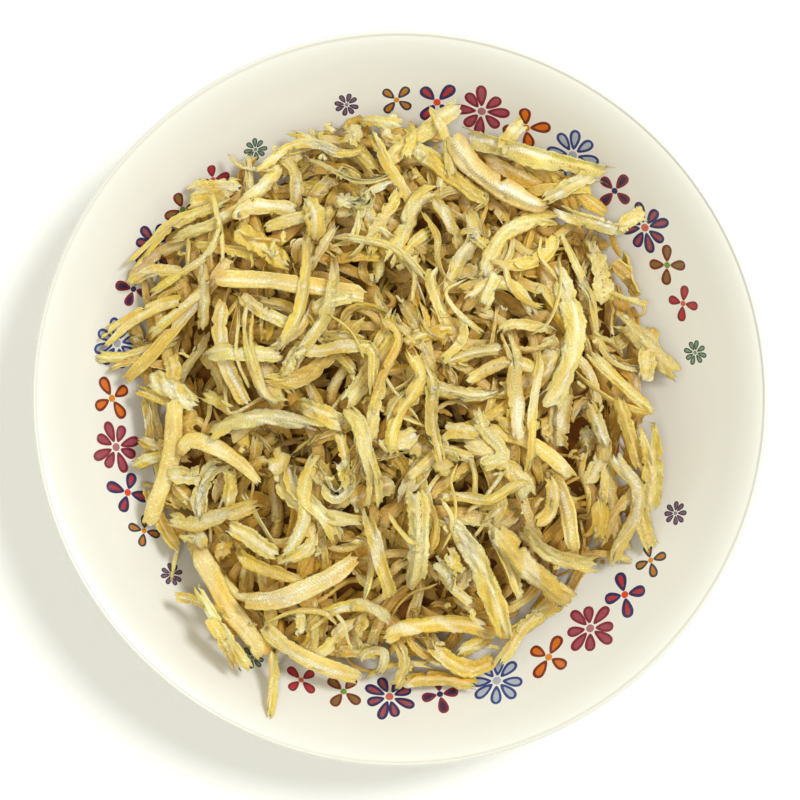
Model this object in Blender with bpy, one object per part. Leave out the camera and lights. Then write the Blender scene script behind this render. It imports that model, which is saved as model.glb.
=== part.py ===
"""Split dried anchovies heaped in a shallow round porcelain dish.

Two solids: the dish, turned from one profile, and the heap, a low core
that fills the dish with the fish that show fused onto it.
Units are metres, +Z is up, and the origin is the middle of the foot.
"""
import math
import random

import bmesh
import bpy
import numpy as np

MM = 0.001

# Dish, a coupe plate with a foot ring and a flatter lip
DISH_RADIUS = 100 * MM
DISH_HEIGHT = 36 * MM
LIP_WIDTH = 5 * MM
LIP_RISE = 1.4 * MM
FLOOR_RADIUS = 45 * MM
FLOOR_TOP = 6 * MM
WALL_CURVE = 1.6
WALL_THICKNESS = 3.2 * MM
FOOT_RADIUS = 54 * MM
FOOT_WIDTH = 4 * MM
FOOT_HEIGHT = 2.2 * MM
FOOT_TAPER = 0.8 * MM
DISH_STEPS = 60
WALL_POINTS = 6

# Heap, measured outwards from the middle of the dish every 30 degrees from +X
OUTLINE_RADII = tuple(radius * MM for radius in (73, 76, 79, 79, 81, 81, 74, 77, 85, 79, 76, 77))
HEAP_TOP = 53 * MM
HEAP_EDGE = 3.5 * MM
DOME_CURVE = 2.0
CORE_SHARE = 0.93
CORE_DEPTH = 5.5 * MM
CORE_EDGE = 1.6 * MM
CORE_RINGS = 7
CORE_SECTORS = 30
CLEARANCE = 0.5 * MM

# Fish, split lengthways and dried stiff, most with the head off
FISH_SIDES = 5
LAID_RINGS = 5
SEEDED_RINGS = 4
FISH_THICKNESS = 0.42
THINNEST_FISH = 1.3 * MM
TAIL_SHAPE = 1.25
SINK = 2.0 * MM
LENGTH_RANGE = (20 * MM, 40 * MM)
WIDTH_RANGE = (3.2 * MM, 5.4 * MM)
BEND_RANGE = (-0.16, 0.16)
SEEDED_FISH = 78
TRIES_PER_FISH = 24
HIGHEST_ABOVE = 0.5 * MM
OVERSHOOT_COST = 1.5
SEED = 51

# Height map that the fish are laid on
CELL = 1 * MM
MAP_HALF = 98 * MM
MAP_CELLS = int(round(2 * MAP_HALF / CELL)) + 1

# The fish that catch the eye, in millimetres: tail, middle and head as x, y, then the width
LAID_FISH = (
    ((-42, -54), (-27, -52), (-11, -42), 5.1),
    ((-52, -10), (-38, -5), (-20, -8), 4.6),
    ((-62, 0), (-63, -17), (-70, -35), 5.1),
    ((-60, -15), (-52, -12), (-37, -23), 4.6),
    ((-56, -40), (-46, -57), (-36, -70), 5.4),
    ((-34, -64), (-35, -75), (-36, -86), 3.8),
    ((-37, -61), (-27, -70), (-10, -76), 4.9),
    ((-31, -17), (-28, -28), (-7, -33), 4.0),
    ((-5, -65), (8, -61), (24, -63), 4.6),
    ((7, -65), (18, -74), (27, -70), 4.6),
    ((11, -31), (21, -44), (29, -67), 6.0),
    ((4, -23), (5, -36), (3, -52), 6.0),
    ((26, -34), (35, -46), (48, -57), 6.2),
    ((18, -9), (33, -11), (47, -22), 4.4),
    ((64, -6), (68, -18), (67, -32), 5.6),
    ((40, -19), (45, -29), (47, -42), 4.4),
    ((51, 13), (60, 4), (69, -4), 3.8),
    ((53, 41), (55, 33), (56, 25), 6.0),
    ((41, 52), (51, 48), (63, 46), 4.2),
    ((14, 72), (24, 59), (41, 52), 6.2),
    ((20, 71), (35, 66), (59, 60), 5.2),
    ((-4, 65), (4, 71), (18, 82), 4.9),
    ((-33, 67), (-16, 70), (-5, 59), 4.0),
    ((-12, 57), (-7, 47), (-1, 37), 4.9),
    ((-33, 64), (-37, 58), (-48, 48), 4.2),
    ((-59, 57), (-51, 58), (-43, 58), 4.3),
    ((-64, 43), (-50, 48), (-38, 55), 4.0),
    ((-46, 38), (-58, 23), (-76, 4), 4.0),
    ((-82, 15), (-71, 23), (-59, 27), 4.0),
    ((-47, 26), (-48, 14), (-41, -2), 4.6),
    ((-43, 15), (-37, 8), (-33, -2), 5.4),
    ((-50, 32), (-30, 31), (-9, 27), 4.9),
    ((43, 48), (29, 45), (22, 32), 4.6),
    ((41, 14), (38, 6), (24, 1), 5.8),
    ((1, 17), (-7, 8), (-15, -3), 4.9),
    ((41, 36), (47, 17), (39, -3), 6.0),
)


def clear_scene():
    """Remove what the scene holds, so that the file starts empty."""
    for thing in list(bpy.data.objects):
        bpy.data.objects.remove(thing, do_unlink=True)


def make_material(name, colour, roughness, metallic=0.0):
    """A plain Principled material in one linear colour."""
    material = bpy.data.materials.new(name)
    material.use_nodes = True
    shader = material.node_tree.nodes["Principled BSDF"]
    shader.inputs["Base Color"].default_value = (*colour, 1.0)
    shader.inputs["Roughness"].default_value = roughness
    shader.inputs["Metallic"].default_value = metallic
    return material


def make_object(name, vertices, faces):
    """An object in the scene from points and faces."""
    mesh = bpy.data.meshes.new(name)
    mesh.from_pydata([tuple(point) for point in vertices], [], faces)
    mesh.validate()
    thing = bpy.data.objects.new(name, mesh)
    bpy.context.scene.collection.objects.link(thing)
    return thing


def dish_inside(radius):
    """Height of the dish's upper surface: a flat floor, then a wall that steepens, then the lip."""
    wall_radius = DISH_RADIUS - LIP_WIDTH
    wall_top = DISH_HEIGHT - LIP_RISE
    share = np.clip((radius - FLOOR_RADIUS) / (wall_radius - FLOOR_RADIUS), 0.0, 1.0)
    wall = FLOOR_TOP + (wall_top - FLOOR_TOP) * share ** WALL_CURVE
    lip = LIP_RISE * np.clip((radius - wall_radius) / LIP_WIDTH, 0.0, 1.0)
    return wall + lip


def dish_profile():
    """Half section from the middle of the floor, up over the rim, down the outside to the foot."""
    wall_radius = DISH_RADIUS - LIP_WIDTH
    wall_radii = [FLOOR_RADIUS + (wall_radius - FLOOR_RADIUS) * step / WALL_POINTS
                  for step in range(WALL_POINTS + 1)]
    inside = [(0.0, FLOOR_TOP)]
    inside += [(radius, float(dish_inside(radius))) for radius in wall_radii]
    edge = WALL_THICKNESS * 0.4
    rim = [(DISH_RADIUS - edge, DISH_HEIGHT),
           (DISH_RADIUS - 0.25 * edge, DISH_HEIGHT - 0.35 * edge),
           (DISH_RADIUS, DISH_HEIGHT - edge),
           (DISH_RADIUS - 0.5 * edge, DISH_HEIGHT - 1.8 * edge)]
    outside = [(radius + 0.5 * edge, float(dish_inside(radius)) - WALL_THICKNESS)
               for radius in reversed(wall_radii) if radius > FOOT_RADIUS]
    foot_inner = FOOT_RADIUS - FOOT_WIDTH
    foot = [(FOOT_RADIUS + FOOT_TAPER, FOOT_HEIGHT),
            (FOOT_RADIUS, 0.0),
            (foot_inner, 0.0),
            (foot_inner - FOOT_TAPER, FOOT_HEIGHT),
            (0.0, FOOT_HEIGHT)]
    return inside + rim + outside + foot


def make_dish():
    """The dish, its half section swept once round the Z axis."""
    profile = dish_profile()
    points = [(radius, 0.0, height) for radius, height in profile]
    edges = [(index, index + 1) for index in range(len(points) - 1)]
    mesh = bpy.data.meshes.new("dish")
    mesh.from_pydata(points, edges, [])
    dish = bpy.data.objects.new("dish", mesh)
    bpy.context.scene.collection.objects.link(dish)
    screw = dish.modifiers.new("turned", "SCREW")
    screw.axis = "Z"
    screw.angle = 2 * math.pi
    screw.steps = DISH_STEPS
    screw.render_steps = DISH_STEPS
    screw.use_merge_vertices = True
    screw.merge_threshold = 0.00001
    screw.use_smooth_shade = True
    dish.data.materials.append(make_material("porcelain", (0.86, 0.83, 0.74), 0.18))
    return dish


def outline_radius(bearing):
    """Radius of the heap's edge at a bearing, eased between the stated radii."""
    place = np.mod(bearing, 2 * math.pi) / (2 * math.pi) * len(OUTLINE_RADII)
    before = np.floor(place).astype(int)
    share = (1 - np.cos((place - before) * math.pi)) / 2
    radii = np.array(OUTLINE_RADII)
    return (radii[before % len(radii)] * (1 - share)
            + radii[(before + 1) % len(radii)] * share)


def dome_height(x, y):
    """Height that the fish reach: flat in the middle, falling to the dish at the outline."""
    edge_radius = outline_radius(np.arctan2(y, x))
    share = np.hypot(x, y) / edge_radius
    edge_height = dish_inside(edge_radius) + HEAP_EDGE
    dome = edge_height + (HEAP_TOP - edge_height) * (1 - share ** DOME_CURVE)
    return np.maximum(dome, dish_inside(np.hypot(x, y)) + CLEARANCE)


def core_top(x, y):
    """Upper surface of the core, a fish's depth below the dome."""
    floor = dish_inside(np.hypot(x, y)) + CLEARANCE + CORE_EDGE
    return np.maximum(dome_height(x, y) - CORE_DEPTH, floor)


def make_core():
    """The core: rings from the middle to its edge, with a top and an underside joined there."""
    bearings = np.arange(CORE_SECTORS) * 2 * math.pi / CORE_SECTORS
    edge_radius = outline_radius(bearings) * CORE_SHARE
    top = [(0.0, 0.0, float(core_top(0.0, 0.0)))]
    under = [(0.0, 0.0, FLOOR_TOP + CLEARANCE)]
    for ring in range(1, CORE_RINGS + 1):
        radius = edge_radius * math.sin(ring / CORE_RINGS * math.pi / 2)
        x = radius * np.cos(bearings)
        y = radius * np.sin(bearings)
        top += list(zip(x, y, core_top(x, y)))
        under += list(zip(x, y, dish_inside(radius) + CLEARANCE))
    faces = []
    shift = len(top)
    for sector in range(CORE_SECTORS):
        after = (sector + 1) % CORE_SECTORS
        faces.append((0, 1 + sector, 1 + after))
        faces.append((shift, shift + 1 + after, shift + 1 + sector))
        for ring in range(CORE_RINGS - 1):
            inner = 1 + ring * CORE_SECTORS
            outer = inner + CORE_SECTORS
            faces.append((inner + sector, outer + sector, outer + after, inner + after))
            faces.append((shift + inner + sector, shift + inner + after,
                          shift + outer + after, shift + outer + sector))
        rim = 1 + (CORE_RINGS - 1) * CORE_SECTORS
        faces.append((rim + sector, shift + rim + sector, shift + rim + after, rim + after))
    return make_object("anchovy_heap", top + under, faces)


class HeightMap:
    """Heights of what lies in the dish so far, on a square grid of cells."""

    def __init__(self):
        line = np.linspace(-MAP_HALF, MAP_HALF, MAP_CELLS)
        x, y = np.meshgrid(line, line)
        radius = np.hypot(x, y)
        self.heights = dish_inside(radius) + CLEARANCE
        inside_core = radius < outline_radius(np.arctan2(y, x)) * CORE_SHARE
        self.heights[inside_core] = core_top(x, y)[inside_core]

    def cells(self, x, y):
        """Row and column of the cells that hold the points."""
        column = np.clip(np.rint((x + MAP_HALF) / CELL).astype(int), 0, MAP_CELLS - 1)
        row = np.clip(np.rint((y + MAP_HALF) / CELL).astype(int), 0, MAP_CELLS - 1)
        return row, column

    def read(self, x, y):
        """Heights under the points."""
        return self.heights[self.cells(x, y)]

    def raise_to(self, x, y, height):
        """Lift the cells under the points to at least the heights given."""
        np.maximum.at(self.heights, self.cells(x, y), height)


def fish_line(tail, middle, head, share):
    """Plan of a fish's back: the parabola through its tail, middle and head."""
    share = np.asarray(share)[:, None]
    return (np.array(tail) * (1 - share) * (1 - 2 * share)
            + np.array(middle) * 4 * share * (1 - share)
            + np.array(head) * share * (2 * share - 1))


def fish_half_width(width, share):
    """Half width along a fish: none at the tail, widest past the middle, blunt at the head."""
    widest = TAIL_SHAPE / 2
    return width / 2 * np.sqrt(np.clip(share * (TAIL_SHAPE - share), 0.0, 1.0)) / widest


def across_points(line, half_width):
    """Points on the back and on both flanks, for each point of a fish's line."""
    along = np.gradient(line, axis=0)
    along /= np.linalg.norm(along, axis=1)[:, None]
    across = np.stack([-along[:, 1], along[:, 0]], axis=1)
    steps = np.array([-0.8, -0.4, 0.0, 0.4, 0.8])
    return line[:, None, :] + across[:, None, :] * (half_width[:, None] * steps)[:, :, None]


def rest_heights(ground, share):
    """A stiff fish rests on the two high points either side of its middle."""
    best = None
    for left in range(len(share) // 2 + 1):
        for right in range(len(share) // 2, len(share)):
            if right == left:
                continue
            slope = (ground[right] - ground[left]) / (share[right] - share[left])
            line = ground[left] + slope * (share - share[left])
            if np.all(line >= ground - 0.02 * MM):
                middle = np.interp(0.5, share, line)
                if best is None or middle < best[0]:
                    best = (middle, line)
    if best is None:
        return np.full(len(share), ground.max())
    return best[1]


def place_fish(height_map, fish):
    """Plan line, resting heights, half widths and thickness of a fish laid on the map."""
    tail, middle, head, width = fish
    share = np.linspace(0.0, 1.0, 25)
    line = fish_line(tail, middle, head, share)
    half_width = fish_half_width(width, np.clip(share, 0.06, 0.97))
    spots = across_points(line, half_width)
    ground = height_map.read(spots[..., 0], spots[..., 1]).max(axis=1)
    rest = rest_heights(ground, share) - SINK
    thickness = max(width * FISH_THICKNESS, THINNEST_FISH)
    bed = dish_inside(np.hypot(spots[..., 0], spots[..., 1])).max(axis=1) + CLEARANCE
    centre = np.maximum(rest, bed) + thickness / 2
    return share, line, centre, half_width, spots, thickness


def make_fish(name, placed, rings):
    """One fish: rings of a flat five-sided section, ridge up, with a point at tail and head."""
    share, line, centre, half_width, _, thickness = placed
    ring_shares = np.linspace(0.1, 0.96, rings)
    all_shares = np.concatenate([[0.0], ring_shares, [1.0]])
    x = np.interp(all_shares, share, line[:, 0])
    y = np.interp(all_shares, share, line[:, 1])
    z = np.interp(all_shares, share, centre)
    half = np.interp(all_shares, share, half_width)
    along = np.gradient(np.stack([x, y], axis=1), axis=0)
    along /= np.linalg.norm(along, axis=1)[:, None]
    points = [(x[0], y[0], z[0])]
    for ring in range(1, rings + 1):
        for side in range(FISH_SIDES):
            turn = 2 * math.pi * (side / FISH_SIDES + 0.25)
            out = half[ring] * math.cos(turn)
            rise = thickness / 2 * math.sin(turn)
            points.append((x[ring] - along[ring, 1] * out,
                           y[ring] + along[ring, 0] * out,
                           z[ring] + rise))
    points.append((x[-1], y[-1], z[-1]))
    faces = []
    last = len(points) - 1
    for side in range(FISH_SIDES):
        after = (side + 1) % FISH_SIDES
        faces.append((0, 1 + after, 1 + side))
        for ring in range(rings - 1):
            near = 1 + ring * FISH_SIDES
            far = near + FISH_SIDES
            faces.append((near + side, near + after, far + after, far + side))
        end = 1 + (rings - 1) * FISH_SIDES
        faces.append((end + side, end + after, last))
    return make_object(name, points, faces)


def draw_fish(rng):
    """A fish anywhere within the outline, at any heading, with its own length, width and bend."""
    bearing = rng.uniform(0.0, 2 * math.pi)
    reach = float(outline_radius(np.array(bearing))) - 4 * MM
    radius = reach * math.sqrt(rng.random())
    heading = rng.uniform(0.0, 2 * math.pi)
    length = rng.uniform(*LENGTH_RANGE)
    bend = rng.uniform(*BEND_RANGE) * length
    middle = np.array([radius * math.cos(bearing), radius * math.sin(bearing)])
    along = np.array([math.cos(heading), math.sin(heading)])
    across = np.array([-along[1], along[0]])
    tail = middle - along * length / 2 - across * bend
    head = middle + along * length / 2 - across * bend
    return tail, middle, head, rng.uniform(*WIDTH_RANGE)


def cover_needed(height_map, fish):
    """How thin the cover is here, less what the fish would stand above the dome or reach past it."""
    _, line, centre, _, _, thickness = place_fish(height_map, fish)
    dome = dome_height(line[:, 0], line[:, 1])
    thin = dome - height_map.read(line[:, 0], line[:, 1])
    above = centre + thickness / 2 - dome - HIGHEST_ABOVE
    past = np.hypot(line[:, 0], line[:, 1]) - outline_radius(np.arctan2(line[:, 1], line[:, 0]))
    return float(thin.mean() - OVERSHOOT_COST * (max(above.max(), 0.0) + max(past.max(), 0.0)))


def lay_fish(height_map, collection, fish, rings):
    """Lay one fish on what is there, and raise the height map by it."""
    placed = place_fish(height_map, fish)
    thing = make_fish("fish", placed, rings)
    bpy.context.scene.collection.objects.unlink(thing)
    collection.objects.link(thing)
    _, _, centre, _, spots, thickness = placed
    tops = np.repeat((centre + thickness / 2)[:, None], spots.shape[1], axis=1)
    height_map.raise_to(spots[..., 0], spots[..., 1], tops)


def join_to_core(core, collection):
    """Union of the core with every fish, as one mesh."""
    union = core.modifiers.new("joined", "BOOLEAN")
    union.operation = "UNION"
    union.operand_type = "COLLECTION"
    union.collection = collection
    union.solver = "MANIFOLD"
    bpy.context.view_layer.update()
    shaped = core.evaluated_get(bpy.context.evaluated_depsgraph_get())
    joined = bpy.data.meshes.new_from_object(shaped)
    core.modifiers.remove(union)
    core.data = joined
    for thing in list(collection.objects):
        bpy.data.objects.remove(thing, do_unlink=True)
    bpy.data.collections.remove(collection)


def keep_one_body(thing):
    """Keep the largest closed shell, which drops loose scraps and fills sealed hollows."""
    shape = bmesh.new()
    shape.from_mesh(thing.data)
    bmesh.ops.triangulate(shape, faces=shape.faces[:])
    unseen = set(shape.faces)
    shells = []
    while unseen:
        front = [unseen.pop()]
        shell = list(front)
        while front:
            face = front.pop()
            for edge in face.edges:
                for beside in edge.link_faces:
                    if beside in unseen:
                        unseen.remove(beside)
                        front.append(beside)
                        shell.append(beside)
        shells.append(shell)
    largest = max(shells, key=len)
    spare = [face for shell in shells if shell is not largest for face in shell]
    bmesh.ops.delete(shape, geom=spare, context="FACES")
    shape.to_mesh(thing.data)
    shape.free()


def make_heap():
    """The heap: the core, the fish that catch the eye, then seeded ones where cover is thin."""
    core = make_core()
    height_map = HeightMap()
    collection = bpy.data.collections.new("fish")
    bpy.context.scene.collection.children.link(collection)
    rng = random.Random(SEED)
    for fish in LAID_FISH:
        points = [np.array(point) * MM for point in fish[:3]]
        lay_fish(height_map, collection, (*points, fish[3] * MM), LAID_RINGS)
    for _ in range(SEEDED_FISH):
        drawn = [draw_fish(rng) for _ in range(TRIES_PER_FISH)]
        wanted = max(drawn, key=lambda fish: cover_needed(height_map, fish))
        lay_fish(height_map, collection, wanted, SEEDED_RINGS)
    join_to_core(core, collection)
    keep_one_body(core)
    core.data.materials.clear()
    core.data.materials.append(make_material("dried_anchovy", (0.68, 0.50, 0.18), 0.55))
    return core


def main():
    clear_scene()
    make_dish()
    make_heap()


main()
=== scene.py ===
"""Looks of a dish of split dried anchovies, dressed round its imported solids.

The porcelain dish, its band of enamel flowers and every fish of the heap are
surfaces worked out with numpy. Lengths are metres, +Z is up, and the origin
is the middle of the dish's foot.
"""
import functools
import math
from dataclasses import dataclass

import bpy
import numpy as np
from bpy.props import FloatProperty, FloatVectorProperty, IntProperty, PointerProperty
from bpy.types import Operator, Panel, PropertyGroup
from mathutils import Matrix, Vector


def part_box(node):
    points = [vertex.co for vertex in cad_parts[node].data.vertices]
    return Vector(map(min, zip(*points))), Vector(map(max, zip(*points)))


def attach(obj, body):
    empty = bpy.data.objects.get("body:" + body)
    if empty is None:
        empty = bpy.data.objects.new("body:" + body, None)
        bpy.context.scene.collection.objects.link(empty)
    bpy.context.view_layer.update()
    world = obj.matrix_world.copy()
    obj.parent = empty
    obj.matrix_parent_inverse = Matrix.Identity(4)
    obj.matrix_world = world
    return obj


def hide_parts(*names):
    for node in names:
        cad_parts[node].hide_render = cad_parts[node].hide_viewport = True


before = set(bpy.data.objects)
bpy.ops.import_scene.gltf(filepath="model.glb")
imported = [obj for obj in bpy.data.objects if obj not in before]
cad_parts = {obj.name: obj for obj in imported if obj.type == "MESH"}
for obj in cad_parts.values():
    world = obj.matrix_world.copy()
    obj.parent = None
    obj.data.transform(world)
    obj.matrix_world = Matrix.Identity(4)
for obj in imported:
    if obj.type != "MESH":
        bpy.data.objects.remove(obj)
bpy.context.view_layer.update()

bl_info = {
    "name": "Dish of Dried Anchovies",
    "version": (1, 0, 0),
    "blender": (4, 5, 0),
    "location": "3D View > Sidebar > Anchovies",
    "description": "Builds a porcelain dish heaped with split dried anchovies",
    "category": "Add Mesh",
}

MM = 0.001
DISH_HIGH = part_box("dish")[1]
TURN = 2 * math.pi

# Heap outline: radius in millimetres every 30 degrees from +X, as in the solids
OUTLINE_RADII = np.array((73, 76, 79, 79, 81, 81, 74, 77, 85, 79, 76, 77)) * MM
# Power by which the dome falls to the outline
DOME_CURVE = 2.0
# Least room between a fish and the glaze
CLEARANCE = 0.15 * MM

# Hollows in the heap: x, y, reach and depth in millimetres
HOLLOWS = (
    (47, -10, 6, 9), (14, -2, 6, 8), (-20, 5, 7, 8), (-11, 35, 5, 7), (1, 31, 5, 6),
    (-54, 5, 5, 6), (-31, 27, 4, 5), (18, -25, 5, 6), (26, 8, 6, 6), (33, 22, 6, 5),
    (7, 46, 5, 6), (54, -30, 11, 5), (47, -48, 8, 5), (-15, -52, 6, 7), (3, -55, 6, 7),
    (-37, -29, 7, 6), (-31, -11, 6, 6), (66, -7, 6, 5), (26, -46, 5, 5), (62, 28, 9, 4),
    (-57, -19, 5, 5), (-30, 57, 6, 4), (-58, 19, 6, 5), (41, -33, 6, 4),
)

# Height map that the fish are laid on, and how many cells away its smoothing reaches
CELL = 1 * MM
MAP_HALF = 98 * MM
MAP_CELLS = int(round(2 * MAP_HALF / CELL)) + 1
SMOOTH_CELLS = 4


def hex_colour(text):
    """Linear red, green and blue of an sRGB hex colour."""
    parts = [int(text[place:place + 2], 16) / 255 for place in (1, 3, 5)]
    return tuple(part / 12.92 if part <= 0.04045 else ((part + 0.055) / 1.055) ** 2.4
                 for part in parts)


def length_setting(name, description, default):
    """A length property in metres."""
    return FloatProperty(name=name, description=description, default=default,
                         min=0.0, precision=4, unit="LENGTH", subtype="DISTANCE")


def colour_setting(name, description, default):
    """A colour property whose default is an sRGB hex colour."""
    return FloatVectorProperty(name=name, description=description, subtype="COLOR",
                               size=3, min=0.0, max=1.0, default=hex_colour(default))


class DishSettings(PropertyGroup):
    """Sizes and colours of the porcelain dish."""

    radius: length_setting("Radius", "From the middle to the rim", DISH_HIGH.x)
    height: length_setting("Height", "From the table to the rim", DISH_HIGH.z)
    lip_width: length_setting("Lip width", "Width of the flatter lip", 5 * MM)
    lip_rise: length_setting("Lip rise", "Height gained over the lip", 2.2 * MM)
    floor_radius: length_setting("Floor radius", "Where the wall starts to rise", 45 * MM)
    floor_top: length_setting("Floor height", "Height of the floor's upper face", 6 * MM)
    wall: length_setting("Wall", "Thickness of the wall", 3.2 * MM)
    foot_radius: length_setting("Foot radius", "Outer radius of the foot ring", 54 * MM)
    foot_width: length_setting("Foot width", "Width of the foot ring", 4 * MM)
    foot_height: length_setting("Foot height", "Height of the foot ring", 2.2 * MM)
    wall_curve: FloatProperty(name="Wall curve", default=1.6, min=1.0, max=4.0,
                              description="How late the wall steepens")
    glaze: colour_setting("Glaze", "Colour of the glazed porcelain", "#EEEDE4")
    clay: colour_setting("Bare clay", "Colour of the unglazed foot", "#D9D2C0")


class BandSettings(PropertyGroup):
    """Sizes of the band of flowers on the wall."""

    radius: length_setting("Band radius", "Radius of the ring of flowers", 83.3 * MM)
    lift: length_setting("Enamel thickness", "How far the enamel stands proud", 0.05 * MM)


class HeapSettings(PropertyGroup):
    """Sizes and number of the fish."""

    top: length_setting("Heap top", "Height of the flat top of the heap", 45.5 * MM)
    edge: length_setting("Edge rise", "Heap's height over the dish at its outline", 0.8 * MM)
    core_depth: length_setting("Core depth", "Depth of the core below the top", 13 * MM)
    under_fish: IntProperty(name="Fish below", default=760, min=0,
                            description="Fish laid by rule before those laid by hand")
    top_fish: IntProperty(name="Fish between", default=90, min=0,
                          description="Small fish laid by rule between those laid by hand")
    crumbs: IntProperty(name="Crumbs", default=90, min=0, description="Crumbs on the heap")
    seed: IntProperty(name="Seed", default=7, description="Seed of every random draw")


class FleshSettings(PropertyGroup):
    """Colours of the dried fish."""

    pale: colour_setting("Pale flesh", "Most of the flesh", "#F8E08E")
    # Cream and gold are the flesh's own tones, and also paint a highlight over the backbone
    # (cream) and shade on the flanks (gold)
    cream: colour_setting("Cream ridge", "Line over the backbone", "#FEF4D0")
    gold: colour_setting("Golden flesh", "Oily, golden fish", "#EECA58")
    amber: colour_setting("Amber", "Ends and cut edges", "#D49E30")
    grey: colour_setting("Grey flesh", "Greyish, glassy fish", "#EAD586")
    silver: colour_setting("Silver skin", "Silvery skin", "#F8F0D8")
    dark: colour_setting("Dark lining", "Belly lining and eyes", "#2E2A20")
    # Deep flesh is painted shade: the colour of fish down between the others
    deep: colour_setting("Deep flesh", "Fish down between the others", "#D0981E")
    # The core's colour is painted shade: the brown of fish deep in the heap, where little light
    # gets
    core: colour_setting("Core", "Core below the fish", "#8E560A")
    tick_spacing: length_setting("Muscle spacing", "Distance between muscle segments", 0.85 * MM)


class StageSettings(PropertyGroup):
    """Floor, lights and camera."""

    camera_height: length_setting("Camera height", "Height of the camera over the table",
                                  620 * MM)
    view_width: length_setting("View width", "Width of the view at the rim", 216.8 * MM)
    floor: colour_setting("Floor", "Colour of the floor", "#FFFFFF")


class AnchovyDishSettings(PropertyGroup):
    """Everything that can be set."""

    dish: PointerProperty(type=DishSettings)
    band: PointerProperty(type=BandSettings)
    heap: PointerProperty(type=HeapSettings)
    flesh: PointerProperty(type=FleshSettings)
    stage: PointerProperty(type=StageSettings)


def settings():
    """The settings kept on the scene."""
    return bpy.context.scene.anchovy_dish


# Meshes

def make_piece(name, points, quads, triangles=None, uv=None, colours=None):
    """An object from arrays: points, four- and three-cornered faces, a map and point colours."""
    mesh = bpy.data.meshes.new(name)
    triangles = np.zeros((0, 3), int) if triangles is None else triangles
    corners = np.concatenate([quads.ravel(), triangles.ravel()]).astype(np.int32)
    starts = np.concatenate([np.arange(len(quads)) * 4,
                             len(quads) * 4 + np.arange(len(triangles)) * 3]).astype(np.int32)
    mesh.vertices.add(len(points))
    mesh.vertices.foreach_set("co", np.asarray(points, np.float32).ravel())
    mesh.loops.add(len(corners))
    mesh.loops.foreach_set("vertex_index", corners)
    mesh.polygons.add(len(starts))
    mesh.polygons.foreach_set("loop_start", starts)
    if uv is not None:
        layer = mesh.uv_layers.new(name="along")
        layer.data.foreach_set("uv", np.asarray(uv, np.float32)[corners].ravel())
    for key, value in (colours or {}).items():
        filled = np.concatenate([value, np.ones((len(value), 1))], axis=1)
        attribute = mesh.attributes.new(key, "FLOAT_COLOR", "POINT")
        attribute.data.foreach_set("color", filled.astype(np.float32).ravel())
    mesh.update(calc_edges=True)
    mesh.validate()
    mesh.shade_smooth()
    piece = bpy.data.objects.new(name, mesh)
    bpy.context.scene.collection.objects.link(piece)
    return piece


def settle(piece, replaced):
    """The piece rides on the one body and stands for a solid."""
    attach(piece, "root")
    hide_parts(replaced)


def ring_quads(rings, around):
    """Faces between rings of points that each close on themselves."""
    first = np.arange(rings - 1)[:, None] * around
    step = np.arange(around)[None, :]
    near = first + step
    after = first + (step + 1) % around
    return np.stack([near + around, after + around, after, near], axis=-1).reshape(-1, 4)


def capped_rings(rings, first, last):
    """Points and faces of a skin over closed rings, with a fan to a point at either end."""
    count, around = rings.shape[:2]
    step = np.arange(around)
    after = (step + 1) % around
    end = (count - 1) * around
    tip = np.full(around, count * around)
    fans = np.concatenate([np.stack([tip, step, after], axis=1),
                           np.stack([tip + 1, end + after, end + step], axis=1)])
    points = np.concatenate([rings.reshape(-1, 3), [first, last]])
    return points, ring_quads(count, around), fans


def join_arrays(parts):
    """One set of arrays from many, with the faces' numbers shifted."""
    shifts = np.cumsum([0] + [len(part["points"]) for part in parts[:-1]])
    faces = ("quads", "triangles")
    return {key: np.concatenate([part[key] + (shift if key in faces else 0)
                                 for part, shift in zip(parts, shifts)]) for key in parts[0]}


# Materials

def wire(node, inputs):
    """Give inputs, by name or in their order, a value each or a link from an output."""
    pairs = inputs.items() if isinstance(inputs, dict) else enumerate(inputs)
    for key, value in pairs:
        if isinstance(value, bpy.types.NodeSocket):
            node.id_data.links.new(value, node.inputs[key])
        else:
            node.inputs[key].default_value = value


def add_node(tree, kind, inputs=(), **options):
    """The outputs of a new node, its options set and its inputs wired."""
    node = tree.nodes.new("ShaderNode" + kind)
    for key, value in options.items():
        setattr(node, key, value)
    wire(node, inputs)
    return node.outputs


def new_material(name):
    """A material, what adds a node to its tree, and its Principled shader."""
    material = bpy.data.materials.new(name)
    material.use_nodes = True
    tree = material.node_tree
    return material, functools.partial(add_node, tree), tree.nodes["Principled BSDF"]


def opaque(colour, factor=1.0):
    """The colour with full cover, lighter or darker by a factor."""
    return (*[min(1.0, part * factor) for part in colour], 1.0)


# A noise texture's scale is how many of its grains lie along a metre

def porcelain_material(colour):
    """Porcelain, slip-cast and glazed: a white body under clear glass that mirrors the lights.

    The body is a little cloudy over 36 mm, and the glaze ripples over 8 mm.
    """
    material, add, shader = new_material("glazed_porcelain")
    place = add("TexCoord")["Object"]
    cloud = add("TexNoise", {"Vector": place, "Scale": 28.0, "Detail": 2.0})["Fac"]
    tone = add("Mix", {"Factor": cloud, "A": opaque(colour, 0.975), "B": opaque(colour)},
               data_type="RGBA")["Result"]
    ripple = add("TexNoise", {"Vector": place, "Scale": 120.0, "Detail": 1.0})["Fac"]
    bump = add("Bump", {"Height": ripple, "Strength": 0.12, "Distance": 0.1 * MM})["Normal"]
    wire(shader, {"Base Color": tone, "Roughness": 0.35, "IOR": 1.5, "Coat Weight": 1.0,
                  "Coat Roughness": 0.06, "Coat IOR": 1.5, "Coat Normal": bump})
    return material


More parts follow.
